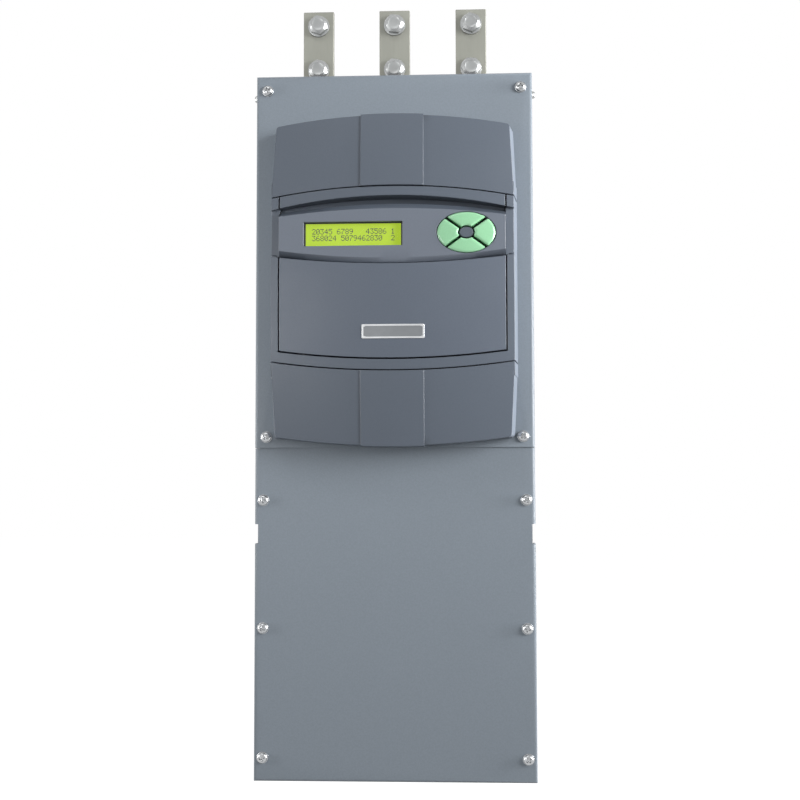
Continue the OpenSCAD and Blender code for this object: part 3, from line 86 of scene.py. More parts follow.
# Share of the noise's range that a swing uses
NOISE_LOW, NOISE_HIGH = 0.3, 0.7
EDGE_SAMPLES = 6


class Surface:
    """A node material under construction, around one Principled shader."""

    def __init__(self, name, color, roughness, metallic=0.0):
        self.material = bpy.data.materials.new(name)
        self.material.use_nodes = True
        self.tree = self.material.node_tree
        self.shader = self.tree.nodes["Principled BSDF"]
        self.shader.inputs["Base Color"].default_value = (*color, 1)
        self.shader.inputs["Roughness"].default_value = roughness
        self.shader.inputs["Metallic"].default_value = metallic
        self.color = color
        self.roughness = roughness
        self.coordinates = self.tree.nodes.new("ShaderNodeTexCoord").outputs["Object"]
        self.edge = None

    def round_edges(self, radius):
        """Edges that catch light as if rounded to this radius in millimetres."""
        node = self.tree.nodes.new("ShaderNodeBevel")
        node.samples = EDGE_SAMPLES
        node.inputs["Radius"].default_value = radius * MM
        self.edge = node.outputs["Normal"]
        self.tree.links.new(self.edge, self.shader.inputs["Normal"])

    def noise(self, scale, detail=2.0, stretch=(1, 1, 1)):
        mapping = self.tree.nodes.new("ShaderNodeMapping")
        mapping.inputs["Scale"].default_value = stretch
        self.tree.links.new(self.coordinates, mapping.inputs["Vector"])
        texture = self.tree.nodes.new("ShaderNodeTexNoise")
        texture.inputs["Scale"].default_value = scale
        texture.inputs["Detail"].default_value = detail
        self.tree.links.new(mapping.outputs["Vector"], texture.inputs["Vector"])
        return texture.outputs["Fac"]

    def ramp(self, factor, low, high):
        node = self.tree.nodes.new("ShaderNodeMapRange")
        node.inputs["From Min"].default_value = NOISE_LOW
        node.inputs["From Max"].default_value = NOISE_HIGH
        node.inputs["To Min"].default_value = low
        node.inputs["To Max"].default_value = high
        self.tree.links.new(factor, node.inputs["Value"])
        return node.outputs["Result"]

    def vary_color(self, noise, amount):
        """Colour swings about the base colour by this share."""
        factor = self.ramp(noise, 0, 1)
        mix = self.tree.nodes.new("ShaderNodeMix")
        mix.data_type = "RGBA"
        mix.inputs["A"].default_value = (*[c * (1 - amount) for c in self.color], 1)
        mix.inputs["B"].default_value = (*[min(1, c * (1 + amount)) for c in self.color], 1)
        self.tree.links.new(factor, mix.inputs["Factor"])
        self.tree.links.new(mix.outputs["Result"], self.shader.inputs["Base Color"])
        return mix

    def vary_roughness(self, factor, amount):
        result = self.ramp(factor, self.roughness - amount, self.roughness + amount)
        self.tree.links.new(result, self.shader.inputs["Roughness"])

    def bump(self, factor, distance, strength):
        node = self.tree.nodes.new("ShaderNodeBump")
        node.inputs["Strength"].default_value = strength
        node.inputs["Distance"].default_value = distance
        self.tree.links.new(factor, node.inputs["Height"])
        if self.edge:
            self.tree.links.new(self.edge, node.inputs["Normal"])
        self.tree.links.new(node.outputs["Normal"], self.shader.inputs["Normal"])

    def set(self, socket, value):
        self.shader.inputs[socket].default_value = value


def linear(r, g, b):
    """Scene-linear colour from display values of 0 to 255."""
    return tuple((c / 255 / 12.92) if c <= 10 else ((c / 255 + 0.055) / 1.055) ** 2.4
                 for c in (r, g, b))


def powder_coat(name, color):
    surface = Surface(name, color, 0.42)
    surface.round_edges(0.6)
    surface.vary_color(surface.noise(700, 3), 0.05)
    surface.vary_roughness(surface.noise(14, 3), 0.05)
    surface.bump(surface.noise(2600, 1.5), 2 * BUMP, 0.5)
    return surface.material


def moulding(name, color, roughness):
    surface = Surface(name, color, roughness)
    surface.round_edges(0.9)
    surface.vary_color(surface.noise(SPECKLE), 0.04)
    surface.vary_roughness(surface.noise(30, 3), 0.04)
    surface.bump(surface.noise(FINE_GRAIN, 1), BUMP, 0.5)
    return surface.material


# Arched top of the bezel's face: height at the middle, radius and half the blend, millimetres
FACE_TOP, FACE_TOP_R, FACE_BLEND = 507.4, 820.0, 0.2


def face_tone_and_sheen(name, face_color, body_color, roughness, edge):
    """Bezel moulding: a finer, paler face below its arched top, the housing's colour above it; the
    face's paleness is partly its own finish and partly painted sheen for a light reflected from the
    left.
    """
    surface = Surface(name, face_color, roughness)
    surface.round_edges(edge)
    # Paler face colour: partly the face's own finish, partly painted sheen
    pale_and_sheen = surface.vary_color(surface.noise(SPECKLE), 0.03)
    place = surface.tree.nodes.new("ShaderNodeSeparateXYZ")
    surface.tree.links.new(surface.coordinates, place.inputs["Vector"])
    arch = surface.tree.nodes.new("ShaderNodeMath")
    arch.operation = "MULTIPLY"
    surface.tree.links.new(place.outputs["X"], arch.inputs[0])
    surface.tree.links.new(place.outputs["X"], arch.inputs[1])
    height = surface.tree.nodes.new("ShaderNodeMath")
    height.operation = "MULTIPLY_ADD"
    height.inputs[1].default_value = 1 / (2 * FACE_TOP_R * MM)
    surface.tree.links.new(arch.outputs[0], height.inputs[0])
    surface.tree.links.new(place.outputs["Z"], height.inputs[2])
    tone = surface.tree.nodes.new("ShaderNodeMapRange")
    tone.inputs["From Min"].default_value = (FACE_TOP - FACE_BLEND) * MM
    tone.inputs["From Max"].default_value = (FACE_TOP + FACE_BLEND) * MM
    surface.tree.links.new(height.outputs[0], tone.inputs["Value"])
    mix = surface.tree.nodes.new("ShaderNodeMix")
    mix.data_type = "RGBA"
    mix.inputs["B"].default_value = (*body_color, 1)
    surface.tree.links.new(tone.outputs["Result"], mix.inputs["Factor"])
    surface.tree.links.new(pale_and_sheen.outputs["Result"], mix.inputs["A"])
    surface.tree.links.new(mix.outputs["Result"], surface.shader.inputs["Base Color"])
    surface.bump(surface.noise(FINE_GRAIN, 1), BUMP, 0.5)
    return surface.material


def plated(name, color, roughness=0.28):
    surface = Surface(name, color, roughness, 1.0)
    surface.vary_color(surface.noise(60), 0.06)
    surface.vary_roughness(surface.noise(120), 0.04)
    surface.bump(surface.noise(500), 0.00001, 0.2)
    return surface.material


def dull_tin(name, color):
    """Tinned copper bar: half-dull metal with faint drawing lines and stains."""
    surface = Surface(name, color, 0.5, 0.55)
    surface.vary_color(surface.noise(38, 3, (1, 1, 0.35)), 0.1)
    lines = surface.noise(500, 2, (1, 1, 0.05))
    surface.vary_roughness(lines, 0.06)
    surface.bump(lines, 0.00002, 0.25)
    return surface.material


def rolled(name, color, roughness, stretch, scale=400):
    """Metal with fine lines along one direction."""
    surface = Surface(name, color, roughness, 1.0)
    lines = surface.noise(scale, 3, stretch)
    surface.vary_color(surface.noise(90, 3), 0.05)
    surface.vary_roughness(lines, 0.09)
    surface.bump(lines, BUMP, 0.35)
    return surface.material


def plain_plastic(name, color, roughness=0.45, grain=2000, coat=0.0, rough=0.35):
    surface = Surface(name, color, roughness)
    surface.vary_color(surface.noise(SPECKLE), 0.03)
    surface.vary_roughness(surface.noise(14), 0.02)
    surface.bump(surface.noise(grain, 1), BUMP, rough)
    surface.set("Coat Weight", coat)
    return surface.material


def clear_window(name):
    surface = Surface(name, (0.9, 0.92, 0.9), 0.04)
    surface.set("Alpha", 0.03)
    surface.set("Specular IOR Level", 0.1)
    surface.bump(surface.noise(40, 1), 0.00002, 0.1)
    return surface.material


def backlit(name, color, glow):
    surface = Surface(name, color, 0.3)
    surface.vary_color(surface.noise(30), 0.05)
    surface.set("Specular IOR Level", 0.1)
    surface.set("Emission Color", (*glow, 1))
    surface.set("Emission Strength", 1.0)
    return surface.material


HOUSING_COLOR = linear(80, 88, 99)
BADGE_LINES = ((0.04, 1, 1), 2400)

MATERIALS = {
    "cover_paint": powder_coat("cover_paint", linear(122, 131, 140)),
    "chassis_steel": rolled("chassis_steel", (0.29, 0.3, 0.31), 0.44, (1, 1, 0.04)),
    "plated_steel": plated("plated_steel", (0.4, 0.41, 0.41), 0.26),
    "bright_zinc": plated("bright_zinc", (0.4, 0.41, 0.42), 0.24),
    "washer_steel": plated("washer_steel", (0.34, 0.35, 0.35), 0.36),
    "dark_steel": plated("dark_steel", (0.08, 0.08, 0.085), 0.4),
    "housing_plastic": moulding("housing_plastic", HOUSING_COLOR, 0.4),
    # Slightly paler copy of the housing plastic: painted light for the flatter, brighter door
    "door_lit_plastic": moulding("door_lit_plastic", linear(84, 92, 104), 0.38),
    # Paler, glossier copy of the housing plastic: painted highlight on the housing's side walls
    "side_highlight_plastic": plain_plastic("side_highlight_plastic", linear(128, 136, 148), 0.3, FINE_GRAIN,
                                     rough=0.1),
    # Bezel: its paler face is partly painted sheen, standing in for a light reflected from the left
    "bezel_plastic": face_tone_and_sheen("bezel_plastic", linear(101, 108, 119), HOUSING_COLOR, 0.36, 1.2),
    "window": clear_window("window"),
    "black_plastic": plain_plastic("black_plastic", (0.014, 0.014, 0.015)),
    "lcd_green": backlit("lcd_green", (0.19, 0.27, 0.01), (0.29, 0.42, 0.01)),
    "circuit_board": plain_plastic("circuit_board", (0.012, 0.1, 0.035), 0.3, 600, 0.4),
    "key_green": plain_plastic("key_green", linear(139, 196, 152), 0.24, 2000, 0.5, 0.05),
    "mat_rubber": plain_plastic("mat_rubber", (0.05, 0.075, 0.07), 0.7),
    "badge_metal": rolled("badge_metal", (0.56, 0.57, 0.58), 0.42, *BADGE_LINES),
    "badge_field": rolled("badge_field", (0.2, 0.21, 0.22), 0.46, *BADGE_LINES),
    "terminal_plastic": plain_plastic("terminal_plastic", (0.03, 0.2, 0.07)),
    "cable_grey": plain_plastic("cable_grey", (0.35, 0.35, 0.37)),
    "brass": plated("brass", (0.72, 0.53, 0.25)),
    "aluminium": rolled("aluminium", (0.62, 0.64, 0.66), 0.34, (1, 1, 0.05)),
    "module_plastic": plain_plastic("module_plastic", (0.03, 0.03, 0.034), 0.5),
    "tinned_bar": dull_tin("tinned_bar", linear(141, 142, 134)),
    "insulator": plain_plastic("insulator", (0.3, 0.05, 0.03), 0.45),
    "copper_bar": rolled("copper_bar", (0.75, 0.42, 0.28), 0.3, (1, 1, 0.06)),
}


# Edges sharper than this are kept or bevelled, and faces flatter than this are joined
EDGE_ANGLE, FLAT_ANGLE = math.radians(35), math.radians(0.2)
# Points this near are joined, millimetres: in a node with a bevel and in the others
WELD_BEVELLED, WELD_PLAIN = 0.3, 0.01


def dress_node(name, look, bevel):
    """Material of a CAD node, with its edges kept sharp or bevelled by this many millimetres."""
    obj = nodes[name]
    material = MATERIALS[look]
    if not obj.data.materials:
        obj.data.materials.append(material)
    for index in range(len(obj.material_slots)):
        obj.material_slots[index].material = material
    weld = obj.modifiers.new("weld", "WELD")
    weld.merge_threshold = (WELD_BEVELLED if bevel else WELD_PLAIN) * MM
    for polygon in obj.data.polygons:
        polygon.use_smooth = True
    if not bevel:
        split = obj.modifiers.new("split", "EDGE_SPLIT")
        split.split_angle = EDGE_ANGLE
        return
    flat = obj.modifiers.new("flat", "DECIMATE")
    flat.decimate_type = "DISSOLVE"
    flat.angle_limit = FLAT_ANGLE
    modifier = obj.modifiers.new("bevel", "BEVEL")
    modifier.width = bevel * MM
    modifier.segments = 2
    modifier.limit_method = "ANGLE"
    modifier.angle_limit = EDGE_ANGLE
    modifier.use_clamp_overlap = False
    modifier.harden_normals = False
    normals = obj.modifiers.new("normals", "WEIGHTED_NORMAL")
    normals.weight = 100
    normals.keep_sharp = False


class Shape:
    """Points and faces of one piece, collected in millimetres of the shared frame."""

    def __init__(self):
        self.points = []
        self.faces = []

    def add(self, points, faces):
        start = len(self.points)
        self.points += [tuple(p) for p in points]
        self.faces += [tuple(start + i for i in face) for face in faces]

    def loops(self, rings, close_first=False, close_last=False):
        """Skin between rings of equally many points."""
        count = len(rings[0])
        points = [p for ring in rings for p in ring]
        faces = []
        for k in range(len(rings) - 1):
            for i in range(count):
                j = (i + 1) % count
                faces.append((k * count + i, k * count + j, (k + 1) * count + j, (k + 1) * count + i))
        if close_first:
            faces.append(tuple(reversed(range(count))))
        if close_last:
            faces.append(tuple(range((len(rings) - 1) * count, len(rings) * count)))
        self.add(points, faces)

    def piece(self, name, slot, body, replaced=(), look=None, smooth=True, crease=30):
        """Object on a body, in the look of its slot or in one of its own."""
        mesh = bpy.data.meshes.new(name)
        mesh.from_pydata([tuple(c * MM for c in p) for p in self.points], [], self.faces)
        shaped = bmesh.new()
        shaped.from_mesh(mesh)
        bmesh.ops.recalc_face_normals(shaped, faces=shaped.faces)
        shaped.to_mesh(mesh)
        shaped.free()
        for polygon in mesh.polygons:
            polygon.use_smooth = smooth
        if smooth:
            mesh.set_sharp_from_angle(angle=math.radians(crease))
        mesh.materials.append(MATERIALS[look or slot])
        obj = bpy.data.objects.new(name, mesh)
        bpy.context.scene.collection.objects.link(obj)
        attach(obj, body)
        if replaced:
            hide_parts(*replaced)


def node_tree(name):
    """Search tree over the faces of a CAD node."""
    mesh = nodes[name].data
    return BVHTree.FromPolygons([v.co for v in mesh.vertices], [p.vertices for p in mesh.polygons])


def circle(count):
    return [2 * math.pi * i / count for i in range(count)]


# Busbar bolts: chamfered hexagon heads, washers, nuts and threaded ends

BOLT_SIDES = 72
BOLT_FLATS, BOLT_HEAD, BOLT_NUT, BOLT_RADIUS = 17.0, 6.4, 8.0, 5.0
WASHER_RADIUS, WASHER = 10.5, 2.0
THREAD_PITCH, THREAD_DEPTH, THREAD_END, THREAD_CHAMFER = 1.5, 0.9, 3.0, 1.3
THREAD_SIDES, THREAD_STEPS = 48, 8
NUT_HOLE = BOLT_RADIUS - 0.5
# Share of the hexagon's flats that stays level, and slope of the chamfer round it
BOLT_CROWN, NUT_CROWN = 0.76, 0.94
CHAMFER_SLOPE = math.tan(math.radians(30))
CHAMFER_STEPS = (1.0, 0.66, 0.33, 0.0)
# Share of the level face's radius and depth below it
DISH_PROFILE = ((0.9, 0.0), (0.84, 0.18), (0.5, 0.26), (0.0, 0.28))
WASHER_SOFT = 0.35
# Inset from the washer's rim and height, up to its hole
WASHER_PROFILE = ((0.1, 0.0), (0.0, WASHER_SOFT), (0.0, WASHER - WASHER_SOFT),
                  (WASHER_SOFT * 0.3, WASHER - WASHER_SOFT * 0.3), (WASHER_SOFT, WASHER),
                  (WASHER_RADIUS - BOLT_RADIUS, WASHER))
# Turns of the heads by bar and row, in degrees, and of each nut against its head
BOLT_TURNS = {(0, 0): 12, (0, 1): 5, (1, 0): 24, (1, 1): 18, (2, 0): 8, (2, 1): 27}
NUT_TURN = math.radians(20)
BOLT_CREASE = 24


def hexagon_radius(angle, turn):
    local = (angle - turn + math.pi / 6) % (math.pi / 3) - math.pi / 6
    return BOLT_FLATS / 2 / math.cos(local)


def depth_ring(x, z, y, radii, angles):
    return [(x + r * math.cos(a), y, z + r * math.sin(a)) for r, a in zip(radii, angles)]


def hexagon_part(shape, face, x, z, seat, height, turn, out, hole=0.0):
    """Head or nut from its seat towards out: chamfered sides in one shape, dished face in another."""
    angles = circle(BOLT_SIDES)
    outline = [hexagon_radius(a, turn) for a in angles]
    flat = BOLT_FLATS / 2 * (NUT_CROWN if hole else BOLT_CROWN)
    top = seat + out * height
    rings = [depth_ring(x, z, seat, outline, angles)]
    for share in CHAMFER_STEPS:
        radii = [flat + (r - flat) * share for r in outline]
        rings.append([(x + r * math.cos(a), top - out * max(0.0, r - flat) * CHAMFER_SLOPE,
                       z + r * math.sin(a)) for r, a in zip(radii, angles)])
    shape.loops(rings)
    inner = hole or 0.05
    dish = [rings[-1]]
    for share, sink in DISH_PROFILE:
        radius = inner + (flat - inner) * share
        dish.append(depth_ring(x, z, top - out * sink, [radius] * BOLT_SIDES, angles))
    face.loops(dish, close_last=not hole)


def washer_part(shape, x, z, face, out):
    angles = circle(BOLT_SIDES)
    shape.loops([depth_ring(x, z, face + out * height, [WASHER_RADIUS - inset] * BOLT_SIDES, angles)
                 for inset, height in WASHER_PROFILE])


def thread_part(shape, x, z, start, end):
    """Threaded end as a helical ridge, chamfered where it stops."""
    count = int((end - start) / THREAD_PITCH * THREAD_STEPS)
    angles = circle(THREAD_SIDES)
    rings = []
    for k in range(count + 1):
        y = start + (end - start) * k / count
        radii = []
        for a in angles:
            phase = (y / THREAD_PITCH - a / (2 * math.pi)) % 1
            ridge = BOLT_RADIUS - THREAD_DEPTH * abs(2 * phase - 1)
            radii.append(min(ridge, BOLT_RADIUS - THREAD_CHAMFER + (end - y)))
        rings.append(depth_ring(x, z, y, radii, angles))
    shape.loops(rings, close_last=True)


def busbar_bolts():
    heads, faces, washers = Shape(), Shape(), Shape()
    bars = [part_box("ac_busbar_%d" % (i + 1)) for i in range(3)]
    low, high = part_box("busbar_bolts")
    rows = [(high[2] / MM) - WASHER_RADIUS, (low[2] / MM) + WASHER_RADIUS]
    for i, (bar_low, bar_high) in enumerate(bars):
        x = (bar_low[0] + bar_high[0]) / 2 / MM
        front, back = bar_low[1] / MM, bar_high[1] / MM
        for k, z in enumerate(rows):
            turn = math.radians(BOLT_TURNS[(i, k)])
            nut_seat = back + WASHER
            nut_top = nut_seat + BOLT_NUT
            washer_part(washers, x, z, front, -1)
            hexagon_part(heads, faces, x, z, front - WASHER, BOLT_HEAD, turn, -1)
            washer_part(washers, x, z, back, 1)
            hexagon_part(heads, heads, x, z, nut_seat, BOLT_NUT, turn + NUT_TURN, 1, NUT_HOLE)
            thread_part(heads, x, z, nut_top - 1, nut_top + THREAD_END)
    heads.piece("bar_bolts", "plated_steel", "case", ["busbar_bolts"], crease=BOLT_CREASE)
    for shape, name in ((washers, "bar_washers"), (faces, "bar_bolt_faces")):
        shape.piece(name, "plated_steel", "case", look="washer_steel", crease=BOLT_CREASE)


busbar_bolts()


# Cover screws: domed pan heads with a cross recess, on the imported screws' places

SCREW_R, SCREW_H, SCREW_RIM = 4.7, 3.4, 0.9
SCREW_WASHER_R, SCREW_WASHER = 5.2, 1.1
SHANK_R = 2.5
CROSS_REACH, CROSS_HALF, CROSS_DEPTH, CROSS_BLEND = 2.5, 0.6, 1.5, 0.3
SCREW_SIDES = 72
# Rings of the head, in fortieths of its radius, close together where the recess is
SCREW_RINGS = (*range(1, 24), 25, 28, 31, 34, 36, 38, 39, 39.6, 40)
# A screw's points lie within this distance of each other
SCREW_SPREAD = 12.0
# Turn of the first recess and from one to the next, degrees
FIRST_TURN, NEXT_TURN = 20, 37


def screw_places(name):
    """Middles and depths of the screws in a node, found from its points."""
    places = []
    for vertex in nodes[name].data.vertices:
        x, y, z = vertex.co / MM
        for place in places:
            if math.hypot(place[0] - x, place[1] - z) < SCREW_SPREAD:
                place[2].append((x, y, z))
                break
        else:
            places.append((x, z, [(x, y, z)]))
    found = []
    for _, _, points in places:
        xs, ys, zs = zip(*points)
        found.append(((min(xs) + max(xs)) / 2, (min(zs) + max(zs)) / 2, min(ys), max(ys)))
    return found


def recess(x, z, turn):
    """Depth of the cross recess below the head's dome."""
    deepest = 0.0
    for a in (turn, turn + math.pi / 2):
        u = abs(x * math.cos(a) + z * math.sin(a))
        v = abs(z * math.cos(a) - x * math.sin(a))
        inside = min(CROSS_HALF - v, CROSS_REACH - u) / CROSS_BLEND + 0.5
        share = min(max(inside, 0.0), 1.0)
        deepest = max(deepest, CROSS_DEPTH * share * share * (3 - 2 * share))
    return deepest


def cover_screws(name):
    shape = Shape()
    angles = circle(SCREW_SIDES)
    for index, (x, z, front, back) in enumerate(screw_places(name)):
        turn = math.radians((index * NEXT_TURN + FIRST_TURN) % 90)
        seat = front + SCREW_H + SCREW_WASHER
        under = seat - SCREW_WASHER
        rings = []
        for k in SCREW_RINGS:
            r = SCREW_R * k / 40
            dome = SCREW_RIM + (SCREW_H - SCREW_RIM) * math.sqrt(max(0.0, 1 - (r / SCREW_R) ** 2))
            ring = [(r * math.cos(a), r * math.sin(a)) for a in angles]
            rings.append([(x + dx, under - dome + recess(dx, dz, turn), z + dz) for dx, dz in ring])
        for r, y in ((SCREW_R, under), (SCREW_WASHER_R - 0.2, under), (SCREW_WASHER_R, under + 0.2),
                     (SCREW_WASHER_R, seat), (SHANK_R, seat), (SHANK_R, back)):
            rings.append(depth_ring(x, z, y, [r] * SCREW_SIDES, angles))
        shape.loops(rings, close_first=True, close_last=True)
    shape.piece(name + "_domed", "plated_steel", "case", [name], look="bright_zinc", crease=50)


for screws_name in ("upper_cover_screws", "lower_cover_screws"):
    cover_screws(screws_name)


# Keys: four domed sectors with rounded edges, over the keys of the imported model

KEYPAD_W, KEYPAD_H = 51.6, 36.2
HUB_W, HUB_H = 12.4, 9.4
KEY_GAP, KEY_SPLIT = 2.4, math.radians(36)
# Width and drop of the keys' rounded rims
KEY_ROUND, KEY_ROUND_DROP = 2.6, 1.5
# Rings of a key from its border to its middle, as shares of the border
KEY_SHARES = (1.0, 0.994, 0.985, 0.97, 0.95, 0.925, 0.895, 0.86, 0.82, 0.77, 0.7, 0.6, 0.48, 0.34,
              0.2, 0.08, 0.01)
# Front of the case, the bezel face's distance from it and tilt, and the keys' common dome
FRONT_Y = -134.0
FACE_D, FACE_TILT_X, FACE_TILT_Z = 38.44, 0.0275, 0.044
KEY_DOME_R, KEY_RISE = 180.0, 2.2
KEY_FOOT_Y = FRONT_Y - 30.4
HUB_RISE = 0.4
# Inset from the hub's outline and height above its face
HUB_PROFILE = ((0.1, -0.6), (0.1, 0.03), (0.4, 0.16), (1.0, 0.2))
HUB_SIDES = 64
# Each key's body and the direction of its middle, degrees
KEYS = {"key_right": ("right_key", 0), "key_up": ("up_key", 90), "key_left": ("left_key", 180),
        "key_down": ("down_key", 270)}
BORDER_POINTS, BORDER_REACH, BORDER_HALVINGS, BORDER_SOFTENINGS = 160, 30.0, 26, 3
# Place of the point inside a key from which its border is found, as a share of the keypad's half
KEY_MIDDLE = 0.62


def inside_key(x, z, middle):
    """Distance by which a point lies inside the key's outline, about the keypad's middle."""
    def oval(w, h):
        # Distance from the oval along the ray, scaled to the true distance
        level = math.hypot(2 * x / w, 2 * z / h)
        steep = math.hypot(4 * x / w ** 2, 4 * z / h ** 2) / max(level, 1e-6)
        return (1 - level) / max(steep, 1e-6)
    cuts = [oval(KEYPAD_W, KEYPAD_H), -oval(HUB_W + KEY_GAP, HUB_H + KEY_GAP)]
    spread = KEY_SPLIT if middle % 180 == 0 else math.pi / 2 - KEY_SPLIT
    for side in (-1, 1):
        a = math.radians(middle) + side * spread
        cuts.append(side * (x * math.sin(a) - z * math.cos(a)) - KEY_GAP / 2)
    return min(cuts)


def key_border(middle):
    """Border of the key, found along rays from a point inside it, with soft corners."""
    count = BORDER_POINTS
    reach = KEY_MIDDLE * (KEYPAD_W if middle % 180 == 0 else KEYPAD_H) / 2
    cx, cz = reach * math.cos(math.radians(middle)), reach * math.sin(math.radians(middle))
    border = []
    for a in circle(count * 3):
        low, high = 0.0, BORDER_REACH
        for _ in range(BORDER_HALVINGS):
            half = (low + high) / 2
            if inside_key(cx + half * math.cos(a), cz + half * math.sin(a), middle) > 0:
                low = half
            else:
                high = half
        border.append((cx + low * math.cos(a), cz + low * math.sin(a)))
    lengths = [0.0]
    for i in range(len(border)):
        p, q = border[i], border[(i + 1) % len(border)]
        lengths.append(lengths[-1] + math.dist(p, q))
    even = []
    k = 0
    for i in range(count):
        at = lengths[-1] * i / count
        while lengths[k + 1] < at:
            k += 1
        share = (at - lengths[k]) / max(lengths[k + 1] - lengths[k], 1e-9)
        p, q = border[k % len(border)], border[(k + 1) % len(border)]
        even.append((p[0] + (q[0] - p[0]) * share, p[1] + (q[1] - p[1]) * share))
    for _ in range(BORDER_SOFTENINGS):
        even = [((even[i - 1][0] + 2 * even[i][0] + even[(i + 1) % count][0]) / 4,
                 (even[i - 1][1] + 2 * even[i][1] + even[(i + 1) % count][1]) / 4) for i in range(count)]
    return (cx, cz), even


def keypad_middle():
    places = [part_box(key) for key in KEYS]
    return [(min(low[k] for low, high in places) + max(high[k] for low, high in places)) / 2 / MM
            for k in (0, 2)]


def rounding(inside):
    """Drop of a key's rounded rim at this distance inside its outline."""
    short = 1 - min(max(inside, 0.0), KEY_ROUND) / KEY_ROUND
    return KEY_ROUND_DROP * (1 - math.sqrt(max(0.0, 1 - short ** 2)))


def domed_key(name):
    body, middle = KEYS[name]
    mx, mz = keypad_middle()
    (cx, cz), border = key_border(middle)
    shape = Shape()
    rings = [[(mx + px, KEY_FOOT_Y, mz + pz) for px, pz in border]]
    for share in KEY_SHARES:
        outline = [(cx + (px - cx) * share, cz + (pz - cz) * share) for px, pz in border]
        rings.append([(mx + px, dome_y(px, pz) + rounding(inside_key(px, pz, middle)), mz + pz)
                      for px, pz in outline])
    shape.loops(rings, close_first=True, close_last=True)
    shape.piece(name + "_cap", "key_green", body, [name], crease=50)


def dome_y(dx, dz):
    """Front of the keys' common dome over the bezel face, dx and dz from the keypad's middle."""
    back = KEY_DOME_R - KEY_RISE
    ny = -math.sqrt(1 - FACE_TILT_X ** 2 - FACE_TILT_Z ** 2)
    ox, oz = -back * FACE_TILT_X, -back * FACE_TILT_Z
    oy = FRONT_Y - FACE_D - back * ny
    return oy - math.sqrt(KEY_DOME_R ** 2 - (dx - ox) ** 2 - (dz - oz) ** 2)


def hub_y(dx, dz):
    return FRONT_Y - FACE_D - HUB_RISE + FACE_TILT_X * dx + FACE_TILT_Z * dz


def hub_cap():
    """Dark oval inlay on the hub between the keys."""
    mx, mz = keypad_middle()
    shape = Shape()
    rings = []
    for inset, lift in HUB_PROFILE:
        ring = [((HUB_W / 2 - inset) * math.cos(a), (HUB_H / 2 - inset) * math.sin(a))
                for a in circle(HUB_SIDES)]
        rings.append([(mx + dx, hub_y(dx, dz) - lift, mz + dz) for dx, dz in ring])
    shape.loops(rings, close_last=True)
    shape.piece("hub_inlay", "housing_plastic", "case", crease=50)


for key in KEYS:
    domed_key(key)
hub_cap()


# Plain digits on the display, as dots of two lines of twenty places

DIGITS = {
    "0": "01110 10001 10011 10101 11001 10001 01110", "1": "00100 01100 00100 00100 00100 00100 01110",
    "2": "01110 10001 00001 00010 00100 01000 11111", "3": "11111 00010 00100 00010 00001 10001 01110",
    "4": "00010 00110 01010 10010 11111 00010 00010", "5": "11111 10000 11110 00001 00001 10001 01110",
    "6": "00110 01000 10000 11110 10001 10001 01110", "7": "11111 00001 00010 00100 01000 01000 01000",
    "8": "01110 10001 10001 01110 10001 10001 01110", "9": "01110 10001 10001 01111 00001 00010 01100",
}
LINES = ("20345 6789   43586 1", "368024 5079462830  2")
PLACE_W, LINE_H = 3.70, 5.95
DOT_W, DOT_H, DOT_PITCH_X, DOT_PITCH_Z = 0.62, 0.66, 0.64, 0.70
DOT_LIFT, DOT_START = 0.06, 0.25


def display_digits():
    low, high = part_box("lcd_glass")
    mx, mz = (low[0] + high[0]) / 2 / MM, (low[2] + high[2]) / 2 / MM
    front = low[1] / MM - DOT_LIFT
    shape = Shape()
    for row, line in enumerate(LINES):
        foot = mz + (0.5 - row) * LINE_H - 3 * DOT_PITCH_Z - DOT_H / 2
        for place, sign in enumerate(line):
            left = mx + (place - len(line) / 2) * PLACE_W + DOT_START
            for k, dots in enumerate(DIGITS.get(sign, "").split()):
                for i, dot in enumerate(dots):
                    if dot == "0":
                        continue
                    x0, z0 = left + i * DOT_PITCH_X, foot + (6 - k) * DOT_PITCH_Z
                    x1, z1 = x0 + DOT_W, z0 + DOT_H
                    corners = ((x0, z0), (x1, z0), (x1, z1), (x0, z1))
                    shape.add([(x, front, z) for x, z in corners], [(0, 1, 2, 3)])
    shape.piece("display_digits", "black_plastic", "case", smooth=False)


display_digits()


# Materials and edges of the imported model's nodes

# Width of the bevel, millimetres
BEVELS = {
    "badge_plate": 0.25,
    "side_screws": 0.15,
    "ac_busbar_1": 0.8, "ac_busbar_2": 0.8, "ac_busbar_3": 0.8,
    "busbar_insulator": 0.5,
}
# Nodes with a look other than their slot's
OWN_LOOKS = {
    "housing_screws": "dark_steel",
    "door_hinge_pins": "dark_steel",
    "control_door": "door_lit_plastic",
}

for subpart in frame["record"]["subparts"]:
    name = subpart["node"]
    dress_node(name, OWN_LOOKS.get(name, subpart["material_slot"]), BEVELS.get(name, 0.0))


# Drafted side walls of the moulded housing, from its front edges out to the case, in a paler and
# glossier copy of the housing plastic that paints the highlight on its side edges

DRAFT, DRAFT_STEP = 3.8, 0.5
# Strip of the front edge left bare, and how far the wedge reaches into the wall and the case
EDGE_LEFT, WALL_SINK, FOOT_GAP, END_GAP = 0.4, 0.3, 0.05, 0.05
# Depth in front of the case at which the wall is found
WALL_DEPTH = 8
# A wall farther in than this has no wedge, and one nearer than this counts as outermost
WALL_REACH, WALL_SLACK = 6.0, 0.6
# Start of the search rays, outside the whole part
FAR_OFF = 1000


def nearest(tree, origin, direction):
    """First point that a ray meets, in millimetres, or None."""
    hit = tree.ray_cast(Vector(origin) * MM, Vector(direction))[0]
    return None if hit is None else hit / MM


